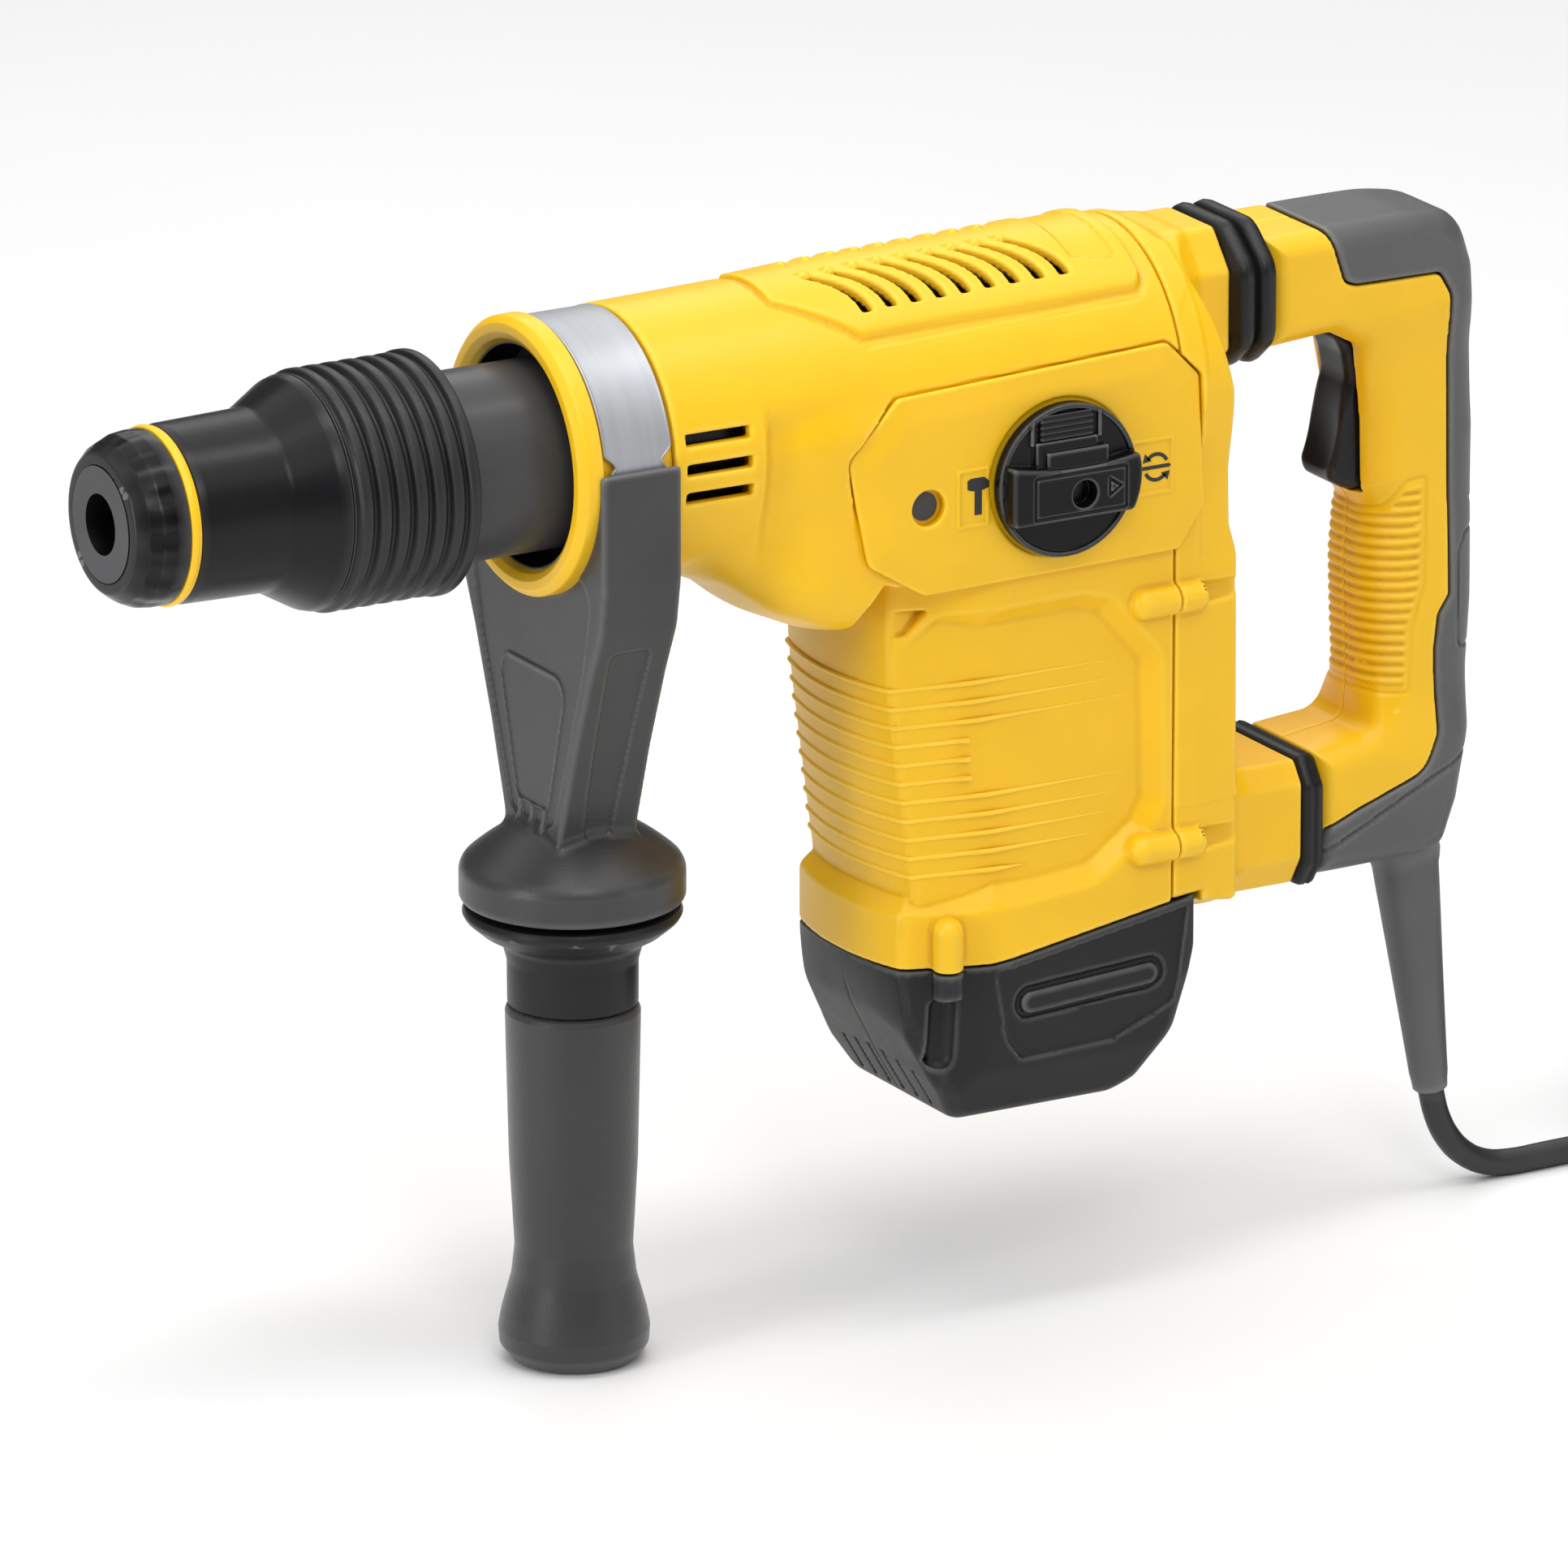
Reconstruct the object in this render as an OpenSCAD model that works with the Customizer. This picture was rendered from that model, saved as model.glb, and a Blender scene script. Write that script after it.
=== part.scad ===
// Demolition hammer with a keyless tool holder, a swinging side handle,
// a sprung rear handle, an upright motor and a crank-driven hammer mechanism.
// +Z up. X runs from the nose back to the rear handle, along the barrel axis.
// The origin is the centre of the tool bore's mouth.

/* [Nose] */
// Radius of the tool bore
bore_r = 9; // [9:0.05:9.1]
// Depth of the tool bore
bore_depth = 96; // [92:1:96]
// Outer radius of the dust cap and the marking ring
cap_r = 26; // [25:0.5:27]
// Radius of the ribbed part of the locking sleeve
sleeve_r = 35.5; // [34:0.5:36]
// Number of ribs round the locking sleeve
sleeve_ribs = 6; // [4:1:7]

/* [Barrel] */
// Radius of the fixed neck behind the sleeve
neck_r = 28; // [27.5:0.5:28]
// Radius of the barrel housing at its front
barrel_r = 40.5; // [40.5:0.5:41]
// Radius of the barrel housing at the rear seam
barrel_rear_r = 44; // [43:0.5:45]
// Half the width across the gear housing
housing_half_w = 40; // [40:0.5:41]

/* [Motor] */
// Distance from the nose to the motor axis
motor_x = 290; // [288:1:291]
// Height of the underside of the motor cap
cap_bottom_z = -218; // [-222:1:-216]
// Half the width across the motor housing
motor_half_w = 39.5; // [39:0.5:41]

/* [Mechanism] */
// Tooth module of the crank drive
gear_module = 1.25; // [1.25:0.05:1.25]
// Teeth on the motor pinion
pinion_teeth = 10; // [10:1:10]
// Teeth on the crank gear
crank_teeth = 44; // [44:1:44]
// Throw of the crank
crank_throw = 12; // [8:1:12]
// Length of the connecting rod between its eyes
rod_length = 40; // [38:1:42]
// Radius of the piston and the ram
piston_r = 17; // [15:0.5:17]

/* [Side handle] */
// Distance from the nose to the side grip's axis
side_x = 153.5; // [152:0.5:154]
// Height of the side grip's end face
grip_bottom_z = -278; // [-284:1:-274]
// Radius of the flange above the side grip
flange_r = 33.3; // [31:0.1:34]

/* [Rear handle] */
// Distance from the nose to the back of the rear handle
back_x = 456; // [454:1:457]
// Half the width of the hand grip
grip_half_w = 17.5; // [16:0.5:18]
// Half the width of the two handle arms
arm_half_w = 21; // [20:0.5:22]
// Height of the handle's damping pivot
pivot_z = -147; // [-148:1:-146]

/* [Cord] */
// Cord diameter
cord_d = 8; // [7:0.5:8]
// Layers in the cord coil
coil_layers = 4; // [3:1:4]

/* [Hidden] */

yellow = [0.98, 0.76, 0.05];
black = [0.09, 0.09, 0.10];
charcoal = [0.22, 0.22, 0.23];
grey = [0.38, 0.38, 0.39];
steel = [0.72, 0.73, 0.75];
dark_steel = [0.45, 0.46, 0.48];
copper = [0.75, 0.42, 0.22];
brass = [0.80, 0.66, 0.30];
bronze = [0.70, 0.50, 0.28];

round_fn = 96;
small_fn = 48;
running_gap = 0.06;
free_gap = 0.35;

// Nose, along X
holder_r = 17;
journal_r = 20;
journal_x = 104;
holder_end_x = 135;
chamber_r = 12 + running_gap;
ring_x = 16;
sleeve_x = 19.4;
sleeve_shoulder_x = 60;
sleeve_end_x = 101;
neck_face_x = 100.3;
collar_x = 134;
band_x = 142;
band_end_x = 165;
band_r = 40;
seat_r = 38.3;
seam_x = 334;

// Mechanism
centre_distance = gear_module * (pinion_teeth + crank_teeth) / 2;
crank_x = motor_x - centre_distance;
wrist_x = crank_x - crank_throw - rod_length;
piston_front_x = wrist_x - 19;
piston_back_x = wrist_x + 13;
ram_front_x = 145;
ram_back_x = 173;
cylinder_back_x = 226;
gear_z = -54;
gear_h = 9;
crank_disc_z = -20;
rod_half_h = 6;
pressure_angle = 25;
backlash = 0.25;

// Motor, along Z
plate_z = -76;
fan_z = -92;
core_z = -150;
core_top_z = -100;
commutator_z = -184;
shaft_bottom_z = -208;
cap_top_front_z = -166.5;
cap_top_rear_z = -155.5;
cap_rear_x = 341.8;
split_z = -50;

// Knob
knob_x = 292.8;
knob_z = -18.7;
knob_r = 23.2;
plate_y = housing_half_w + 3;

// Rear handle
stub_top_x = 363;
arm_top_x = 378.5;
stub_low_x = 388;
arm_low_x = 395.5;
pivot_x = 405;
corner_r = 20;
trigger_pin_x = 416;
trigger_pin_z = -8;
guard_top = [438.7, 0, -165];
guard_end = [449.6, 0, -245.5];

// Cord: hand-chosen points on its centre line, from the guard to the coil
floor_z = grip_bottom_z;
cord_z = floor_z + cord_d / 2;
coil_centre = [594, 5];
coil_inner_r = 43;
coil_outer_r = 67;
coil_top_z = floor_z + coil_layers * cord_d;
cord_route = [
    [449.6, 0, -245.5], [452.0, 0, -254.5], [456.0, 0, -262.3], [462.0, 0, -268.6],
    [469.6, 0, -272.6], [478.0, 0, cord_z], [490.0, 0, cord_z], [502.0, 0, cord_z],
    [512.0, -2.0, cord_z], [521.0, -6.6, cord_z], [528.0, -13.0, cord_z],
    [532.4, -19.6, cord_z]
];

// ---- shared shapes ----

module rod_x(x0, x1, r, fn = round_fn)
    translate([x0, 0, 0]) rotate([0, 90, 0]) cylinder(h = x1 - x0, r = r, $fn = fn);

module cone_x(x0, x1, r0, r1)
    translate([x0, 0, 0]) rotate([0, 90, 0]) cylinder(h = x1 - x0, r1 = r0, r2 = r1, $fn = round_fn);

module tube_x(x0, x1, ro, ri)
    difference() {
        rod_x(x0, x1, ro);
        rod_x(x0 - 1, x1 + 1, ri);
    }

module rod_y(x, z, y0, y1, r, fn = small_fn)
    translate([x, y0, z]) rotate([-90, 0, 0]) cylinder(h = y1 - y0, r = r, $fn = fn);

module rod_z(x, y, z0, z1, r, fn = 64)
    translate([x, y, z0]) cylinder(h = z1 - z0, r = r, $fn = fn);

module tube_z(x, y, z0, z1, ro, ri)
    difference() {
        rod_z(x, y, z0, z1, ro);
        rod_z(x, y, z0 - 1, z1 + 1, ri);
    }

module block(x0, x1, y0, y1, z0, z1)
    translate([x0, y0, z0]) cube([x1 - x0, y1 - y0, z1 - z0]);

// A side outline of [x, z] points, as thick as y0 to y1
module side_cut(points, y0, y1)
    translate([0, y1, 0]) rotate([90, 0, 0]) linear_extrude(y1 - y0) polygon(points);

// A front outline of [y, z] points, as long as x0 to x1
module front_cut(points, x0, x1)
    translate([x0, 0, 0]) rotate([90, 0, 90]) linear_extrude(x1 - x0) polygon(points);

// A plan outline of [x, y] points, as high as z0 to z1
module plan_cut(points, z0, z1)
    translate([0, 0, z0]) linear_extrude(z1 - z0) polygon(points);

// A turned shape about the X axis from [radius, x] points
module turned_x(points)
    rotate([0, 90, 0]) rotate_extrude($fn = round_fn) polygon(points);

function arc(cx, cy, r, a0, a1, n) =
    [for (i = [0 : n]) let (a = a0 + (a1 - a0) * i / n) [cx + r * cos(a), cy + r * sin(a)]];

function unit(v) = v / norm(v);

// A round tube along a route, as one closed surface
module swept_tube(route, r, sides = 8) {
    n = len(route);
    guide = unit([0.35, 0.2, 0.91]);
    tangents = [for (i = [0 : n - 1]) unit(route[min(i + 1, n - 1)] - route[max(i - 1, 0)])];
    points = [
        for (i = [0 : n - 1])
            let (side = unit(cross(tangents[i], guide)), up = cross(side, tangents[i]))
                for (k = [0 : sides - 1])
                    let (a = 360 * k / sides)
                        route[i] + r * (cos(a) * side + sin(a) * up)
    ];
    walls = [
        for (i = [0 : n - 2])
            for (k = [0 : sides - 1])
                let (j = (k + 1) % sides, near = i * sides, far = (i + 1) * sides)
                    for (t = [[near + k, near + j, far + j], [near + k, far + j, far + k]])
                        t
    ];
    start = [for (k = [sides - 1 : -1 : 0]) k];
    finish = [for (k = [0 : sides - 1]) (n - 1) * sides + k];
    polyhedron(points = points, faces = concat([start], walls, [finish]));
}

// Centre line of a compression spring about the X axis
function spring_line(x0, x1, r, turns) =
    [for (i = [0 : turns * 16])
        let (a = 360 * i / 16)
            [x0 + (x1 - x0) * i / (turns * 16), r * cos(a), r * sin(a)]];

// ---- gears ----

function involute_angle(r, base_r) =
    (r <= base_r) ? 0 : sqrt(pow(r / base_r, 2) - 1) * 180 / PI - acos(base_r / r);

module spur_gear(teeth, height, slack) {
    pitch_r = gear_module * teeth / 2;
    base_r = pitch_r * cos(pressure_angle);
    tip_r = pitch_r + 0.75 * gear_module;
    root_r = pitch_r - 1.1 * gear_module;
    half_pitch_angle = 90 / teeth - slack * 90 / (PI * pitch_r);
    flank_shift = half_pitch_angle + involute_angle(pitch_r, base_r);
    steps = 4;
    start_r = max(base_r, root_r);
    radii = [for (i = [0 : steps]) start_r + (tip_r - start_r) * i / steps];
    right = [for (r = radii) [r, -flank_shift + involute_angle(r, base_r)]];
    left = [for (i = [steps : -1 : 0]) [radii[i], flank_shift - involute_angle(radii[i], base_r)]];
    tooth = concat([[root_r, -flank_shift]], right, left, [[root_r, flank_shift]]);
    outline = [
        for (t = [0 : teeth - 1])
            for (p = tooth)
                let (a = p[1] + 360 * t / teeth)
                    [p[0] * cos(a), p[0] * sin(a)]
    ];
    linear_extrude(height) polygon(outline);
}

// ---- nose ----

module tool_holder()
    color(dark_steel)
    difference() {
        union() {
            rod_x(0, journal_x, holder_r);
            rod_x(journal_x, holder_end_x, journal_r);
        }
        rod_x(-1, bore_depth, bore_r);
        rod_x(bore_depth, holder_end_x + 1, chamber_r);
        for (s = [-1, 1])
            block(50, 72, -3.8, 3.8, s > 0 ? 7 : -18, s > 0 ? 18 : -7);
    }

module dust_cap()
    color(black)
    turned_x([
        [holder_r, 1.5], [18.2, 0.4], [20.5, 1.2], [23.6, 4], [25.4, 8],
        [cap_r, 12], [cap_r, ring_x], [holder_r, ring_x]
    ]);

module marking_ring()
    color(yellow)
    turned_x([[holder_r, ring_x], [cap_r + 0.4, ring_x], [cap_r + 0.4, 19], [holder_r, 19]]);

module locking_rollers()
    color(steel)
    for (s = [-1, 1])
        translate([52, 0, s * 12.9]) rotate([0, 90, 0]) cylinder(h = 17, r = 3.6, $fn = small_fn);

module sleeve_spring()
    color(steel)
    swept_tube(spring_line(sleeve_shoulder_x + 2.6, neck_face_x - 1.6, 21, 5), 1.25, 6);

module locking_sleeve()
    color(charcoal)
    turned_x([
        [holder_r + free_gap, sleeve_x], [cap_r + 0.8, sleeve_x], [cap_r + 1, 49],
        [34.2, 61], [33.2, 63], [33.2, sleeve_end_x - 0.5], [neck_r + 0.5, sleeve_end_x - 0.5],
        [neck_r + 0.5, sleeve_shoulder_x + 2], [24, sleeve_shoulder_x],
        [holder_r + free_gap, sleeve_shoulder_x]
    ]);

rib_pitch = (sleeve_end_x - 64) / (sleeve_ribs + 0.5);
module sleeve_grip()
    color(black)
    turned_x(concat(
        [[33.2, 63.1], [sleeve_r - 0.8, 63.6]],
        [for (i = [0 : sleeve_ribs - 1])
            for (p = [[0, 0.6], [0.2, 1.9], [0, 3.2], [-1.7, 4.2], [-1.7, 5.2]])
                [sleeve_r - 0.5 + p[0], 64 + rib_pitch * i + p[1]]],
        [[sleeve_r, sleeve_end_x - 1.5], [sleeve_r - 1, sleeve_end_x], [33.2, sleeve_end_x]]
    ));

module beat_piece()
    color(steel)
    union() {
        rod_x(bore_depth + 0.5, 104, 8.5);
        rod_x(104, 118, 12);
        rod_x(118, 127, 8);
    }

module ram()
    color(steel)
    union() {
        rod_x(holder_end_x - 1.5, ram_front_x, 8);
        rod_x(ram_front_x, ram_back_x, piston_r);
    }

module piston()
    color(steel)
    difference() {
        rod_x(piston_front_x, piston_back_x, piston_r);
        rod_x(wrist_x - 10, piston_back_x + 1, 13);
        rod_z(wrist_x, 0, -30, 30, 4);
        // skirt cut back below, clear of the crank disc at full stroke
        block(piston_back_x - 6, piston_back_x + 1, -20, 20, -20, crank_disc_z + 11);
    }

module wrist_pin()
    color(dark_steel)
    rod_z(wrist_x, 0, -14.5, 14.5, 4);

module con_rod()
    color(dark_steel)
    difference() {
        union() {
            rod_z(wrist_x, 0, -rod_half_h, rod_half_h, 7.5);
            rod_z(wrist_x + rod_length, 0, -rod_half_h, rod_half_h, 9);
            block(wrist_x, wrist_x + rod_length, -4, 4, -rod_half_h, rod_half_h);
        }
        rod_z(wrist_x, 0, -10, 10, 4 + running_gap);
        rod_z(wrist_x + rod_length, 0, -10, 10, 5.1);
    }

// ---- barrel ----

module gearcase_nose()
    color(black)
    difference() {
        rod_x(neck_face_x, band_end_x, neck_r);
        rod_x(neck_face_x - 1, 137, 23);
        rod_x(130, band_end_x + 1, 21);
    }

module front_collar()
    color(yellow)
    turned_x([
        [33, collar_x + 1], [34.5, collar_x], [38.2, collar_x], [barrel_r - 0.8, collar_x + 3],
        [barrel_r - 0.5, band_x - 0.2], [seat_r, band_x - 0.2], [seat_r, band_end_x],
        [neck_r + 0.02, band_end_x], [neck_r + 0.02, band_end_x - 6], [33, band_end_x - 6]
    ]);

module spindle_bush()
    color(bronze)
    tube_x(106, 133, 22.98, journal_r + running_gap);

module hammer_cylinder()
    color(steel)
    tube_x(140, cylinder_back_x, 20.98, piston_r + running_gap);

// Lower edge of the gear housing, seen from the side
belly_x = 244;
// Front end of the barrel housing, just clear of the swinging yoke
barrel_x = band_end_x + 0.8;
gear_belly = [
    [180, 0], [182, -36], [187, -39.8], [197, -48.9], [207, -55.6], [220, -61.5],
    [belly_x, -65], [belly_x, split_z], [seam_x, split_z], [seam_x, 0]
];

// Plan of the gear housing below the barrel
gear_plan = [
    [180, -12], [190, -24], [205, -33], [222, -38], [236, -housing_half_w], [seam_x, -housing_half_w],
    [seam_x, housing_half_w], [236, housing_half_w], [222, 38], [205, 33], [190, 24], [180, 12]
];

function plate_outline(grow) = [
    [222 - grow, -4.6], [238.7 - grow * 0.5, 12.3 + grow], [329.5 + grow * 0.5, 16.1 + grow],
    [340.4 + grow, 5.1], [342.5 + grow, -35], [334 + grow * 0.5, -47.3 - grow],
    [247.7 - grow * 0.5, -48.5 - grow], [229 - grow, -37]
];

module barrel_housing()
    color(yellow)
    difference() {
        union() {
            cone_x(barrel_x, seam_x, barrel_r, barrel_rear_r);
            intersection() {
                side_cut(gear_belly, -60, 60);
                plan_cut(gear_plan, -80, 10);
            }
            // raised hump over the air slots
            front_cut([[-24, 30], [24, 30], [15, 45.5], [-15, 45.5]], 212, 328);
        }
        // bore for the neck and the hammer cylinder, and the crank chamber
        rod_x(160, 200, 37);
        rod_x(199, seam_x + 1, 38);
        block(217, belly_x + 1, -34, 34, -49, 0);
        block(belly_x, seam_x + 1, -34, 34, split_z - 1, 0);
        rod_z(crank_x, 0, -58, -40, gear_space_r);
        // way in for the knob's stem
        rod_y(knob_x, knob_z, -60, -30, 8.3);
        // pockets for the side plates
        side_cut(plate_outline(0.3), housing_half_w, 60);
        side_cut(plate_outline(0.3), -60, -housing_half_w);
        // air slots in both sides of the barrel
        for (s = [-1, 1])
            for (z = [9, 0.5, -8])
                block(170, 191, s > 0 ? 30 : -50, s > 0 ? 50 : -30, z - 2, z + 2);
        // air slots along the hump
        for (i = [0 : 9])
            block(232 + 9.4 * i, 236.5 + 9.4 * i, -16, 16, 34, 50);
    }

module side_plate(s)
    color(yellow)
    difference() {
        side_cut(plate_outline(0), s > 0 ? housing_half_w : -plate_y, s > 0 ? plate_y : -housing_half_w);
        rod_y(248.4, -21.8, -60, 60, 4.5);
        if (s < 0)
            rod_y(knob_x, knob_z, -60, -30, 8.2);
    }

module side_plate_left() side_plate(-1);
module side_plate_right() side_plate(1);

// ---- motor housing ----

// Seam screws: their levels and their distance to each side
screw_levels = [-63, -138.7];
screw_y = 39.8;
gear_space_r = 30.5;

module rod_along_x(y, z, x0, x1, r)
    translate([x0, y, z]) rotate([0, 90, 0]) cylinder(h = x1 - x0, r = r, $fn = small_fn);

// Plan of the motor housing: bowed front, chamfered corners and flat sides
function motor_plan(inset, back) = concat(
    [for (i = [-3 : 3])
        let (a = 20 * i / 3)
            [247.6 + 90 * cos(20) - (90 - inset) * cos(a), (90 - inset) * sin(a) * 30.5 / (90 * sin(20))]],
    [[273.6 + inset, motor_half_w - inset], [back, motor_half_w - inset],
     [back, -motor_half_w + inset], [273.6 + inset, -motor_half_w + inset]]
);

cap_slope = (cap_top_rear_z - cap_top_front_z) / (cap_rear_x - 274);
function cap_line(x) = cap_top_front_z + max(0, x - 274) * cap_slope;

module motor_housing()
    color(yellow)
    difference() {
        union() {
            intersection() {
                plan_cut(motor_plan(0, seam_x), -170, split_z - 0.05);
                side_cut([
                    [belly_x + 0.1, split_z], [belly_x + 0.1, -65.1], [239, -65.2], [241, -78], [247, -140],
                    [241, -150], [241, cap_top_front_z], [274, cap_top_front_z],
                    [seam_x, cap_line(seam_x)], [seam_x, split_z]
                ], -60, 60);
            }
            for (s = [-1, 1])
                for (z = screw_levels)
                    rod_along_x(s * screw_y, z, 318.5, seam_x, 4.6);
        }
        // motor space
        plan_cut(motor_plan(4, seam_x + 1), -171, -150);
        plan_cut(motor_plan(9, seam_x + 1), -151, plate_z);
        block(246.5, seam_x + 1, -28, 28, plate_z - 1, split_z + 1);
        block(252.5, seam_x + 1, -34, 34, plate_z - 1, split_z + 1);
        rod_z(crank_x, 0, -58, -40, gear_space_r);
        // recessed side panels
        for (s = [-1, 1])
            side_cut([
                [230, -78], [300, -78], [310, -80], [316, -88], [317, -115],
                [306, -138], [280, -147], [230, -147]
            ], s > 0 ? motor_half_w - 6 : -60, s > 0 ? 60 : 6 - motor_half_w);
        // holes for the seam screws
        for (s = [-1, 1])
            for (z = screw_levels)
                rod_along_x(s * screw_y, z, 322, seam_x + 1, 2);
    }

module motor_cap()
    color(charcoal)
    difference() {
        union() {
            intersection() {
                plan_cut(motor_plan(0.4, cap_rear_x), -190, -150);
                side_cut([
                    [200, -190], [200, cap_top_front_z - 0.1], [274, cap_top_front_z - 0.1],
                    [cap_rear_x + 5, cap_line(cap_rear_x + 5) - 0.1], [cap_rear_x + 5, -190]
                ], -60, 60);
            }
            hull() {
                plan_cut(motor_plan(0.4, cap_rear_x - 1), -190, -186);
                plan_cut(motor_plan(5, 333), -203, -200);
                plan_cut([[272, -26], [320, -27], [320, 27], [272, 26]], cap_bottom_z, cap_bottom_z + 1);
            }
        }
        plan_cut(motor_plan(4.4, cap_rear_x - 4), -188, -150);
        plan_cut(motor_plan(10, 328), -200, -187.9);
        rod_z(motor_x, 0, -211, -199, 11);
    }

module rear_housing()
    color(yellow)
    difference() {
        union() {
            intersection() {
                side_cut([
                    [seam_x + 0.2, -154.5], [cap_rear_x + 0.2, -153.3], [cap_rear_x + 0.2, -164],
                    [355.5, -163], [355.5, 8], [350, 24], [342, 38], [seam_x + 0.2, 42]
                ], -60, 60);
                front_cut([
                    [-motor_half_w, -170], [-motor_half_w, -50], [-42, -30], [-42, 6], [-36, 22], [-24, 38],
                    [24, 38], [36, 22], [42, 6], [42, -30], [motor_half_w, -50], [motor_half_w, -170]
                ], 330, 360);
            }
            // stub that meets the bellows
            front_cut([
                [-22, 3], [-14, -3], [14, -3], [22, 3], [22, 28], [12, 39.5], [-12, 39.5], [-22, 28]
            ], 345, stub_top_x);
            // lower stub with the tongue for the handle's pivot
            front_cut([
                [-20, -166.5], [20, -166.5], [24.5, -158], [24.5, -134], [19, -127.5], [-19, -127.5],
                [-24.5, -134], [-24.5, -158]
            ], 345, stub_low_x);
            block(stub_low_x - 1, pivot_x, -7.5, 7.5, pivot_z - 9, pivot_z + 9);
            rod_y(pivot_x, pivot_z, -7.5, 7.5, 9);
            for (s = [-1, 1])
                for (z = screw_levels)
                    rod_along_x(s * screw_y, z, seam_x + 0.2, 341, 4.6);
        }
        for (s = [-1, 1])
            for (z = screw_levels) {
                rod_along_x(s * screw_y, z, seam_x, 342, 2);
                rod_along_x(s * screw_y, z, 339, 360, 3.5);
            }
        // hollow behind the seam
        block(seam_x, 352, -35, 35, -150, 8);
        rod_x(seam_x, 342, 34);
        rod_y(pivot_x, pivot_z, -20, 20, 4 + running_gap);
        // pocket for the damper spring
        translate([350, 0, 18]) rotate([0, 90, 0]) cylinder(h = 20, r = 10, $fn = small_fn);
        // pockets for the side plates
        side_cut(plate_outline(0.3), housing_half_w, 60);
        side_cut(plate_outline(0.3), -60, -housing_half_w);
    }

module gear_plate()
    color(dark_steel)
    difference() {
        translate([0, 0, plate_z]) linear_extrude(8) polygon([
            [253, -27], [264, -32.5], [seam_x - 1, -32.5], [seam_x - 1, 32.5], [264, 32.5], [253, 27]
        ]);
        rod_z(motor_x, 0, plate_z - 1, plate_z + 9, 13);
        rod_z(crank_x, 0, plate_z - 1, plate_z + 9, 9);
    }

// One ball bearing: two rings and their balls
module ball_bearing(x, z, bore, outer, width, balls) {
    ball_r = (outer - bore) * 0.22;
    track_r = (outer + bore) / 2;
    ring = (outer - bore) * 0.27;
    tube_z(x, 0, z, z + width, outer, outer - ring);
    tube_z(x, 0, z, z + width, bore + ring, bore);
    for (i = [0 : balls - 1])
        translate([x + track_r * cos(360 * i / balls), track_r * sin(360 * i / balls), z + width / 2])
            sphere(r = ball_r, $fn = 24);
}

module ball_bearings()
    color(steel) {
        ball_bearing(motor_x, plate_z, 5 + running_gap, 12.98, 8, 7);
        ball_bearing(motor_x, -208, 4 + running_gap, 10.98, 7, 7);
        ball_bearing(crank_x, plate_z, 4 + running_gap, 8.98, 8, 7);
    }

// ---- motor ----

module stator_core()
    color(dark_steel)
    difference() {
        intersection() {
            rod_z(motor_x, 0, core_z, core_top_z, 38);
            block(240, seam_x - 1.5, -27.5, 27.5, -160, -90);
        }
        rod_z(motor_x, 0, core_z - 1, core_top_z + 1, 23);
    }

module brush_holders()
    color(brass)
    for (s = [-1, 1])
        difference() {
            block(motor_x - 7, motor_x + 7, s > 0 ? 15 : -30, s > 0 ? 30 : -15, -182, -168);
            block(motor_x - 4, motor_x + 4, s > 0 ? 10 : -31, s > 0 ? 31 : -10, -179.5, -170.5);
        }

module carbon_brushes()
    color(black)
    for (s = [-1, 1])
        block(motor_x - 4, motor_x + 4, s > 0 ? 13.4 : -28, s > 0 ? 28 : -13.4, -179.5, -170.5);

module armature_shaft()
    color(steel)
    union() {
        rod_z(motor_x, 0, shaft_bottom_z, -200, 4);
        rod_z(motor_x, 0, -200, plate_z + 9, 5);
        rod_z(motor_x, 0, plate_z + 9, gear_z, 4.6);
        translate([motor_x, 0, gear_z - 0.5])
            rotate(180 / pinion_teeth) spur_gear(pinion_teeth, gear_h + 1, backlash);
    }

module armature_core()
    color(dark_steel)
    tube_z(motor_x, 0, core_z, core_top_z, 22.5, 5);

module commutator()
    color(copper)
    tube_z(motor_x, 0, commutator_z, commutator_z + 20, 13, 5);

module cooling_fan()
    color(charcoal)
    difference() {
        union() {
            tube_z(motor_x, 0, fan_z, fan_z + 2, 29, 5);
            tube_z(motor_x, 0, fan_z, fan_z + 9, 10, 5);
            for (i = [0 : 11])
                translate([motor_x, 0, fan_z]) rotate(30 * i) translate([9.5, -0.9, 1]) cube([19, 1.8, 8]);
        }
        rod_z(motor_x, 0, fan_z - 1, fan_z + 12, 5);
    }

module crankshaft()
    color(steel)
    union() {
        rod_z(crank_x, 0, plate_z + 0.5, gear_z, 4);
        rod_z(crank_x, 0, gear_z, crank_disc_z, 6);
        rod_z(crank_x, 0, crank_disc_z, crank_disc_z + 10, 18);
        rod_z(crank_x - crank_throw, 0, crank_disc_z + 10, -rod_half_h - 0.5, 5);
    }

module crank_gear()
    color(dark_steel)
    difference() {
        translate([crank_x, 0, gear_z]) spur_gear(crank_teeth, gear_h, 0);
        rod_z(crank_x, 0, gear_z - 1, gear_z + gear_h + 1, 6);
    }

// Screws along X, with a cylinder head and a hex socket
module housing_screws()
    color(dark_steel)
    for (s = [-1, 1])
        for (z = screw_levels)
            difference() {
                union() {
                    rod_along_x(s * screw_y, z, 339, 342.5, 3.4);
                    rod_along_x(s * screw_y, z, 322.2, 339, 1.9);
                }
                translate([341, s * screw_y, z]) rotate([0, 90, 0]) cylinder(h = 3, r = 1.7, $fn = 6);
            }

// ---- mode knob ----

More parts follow.
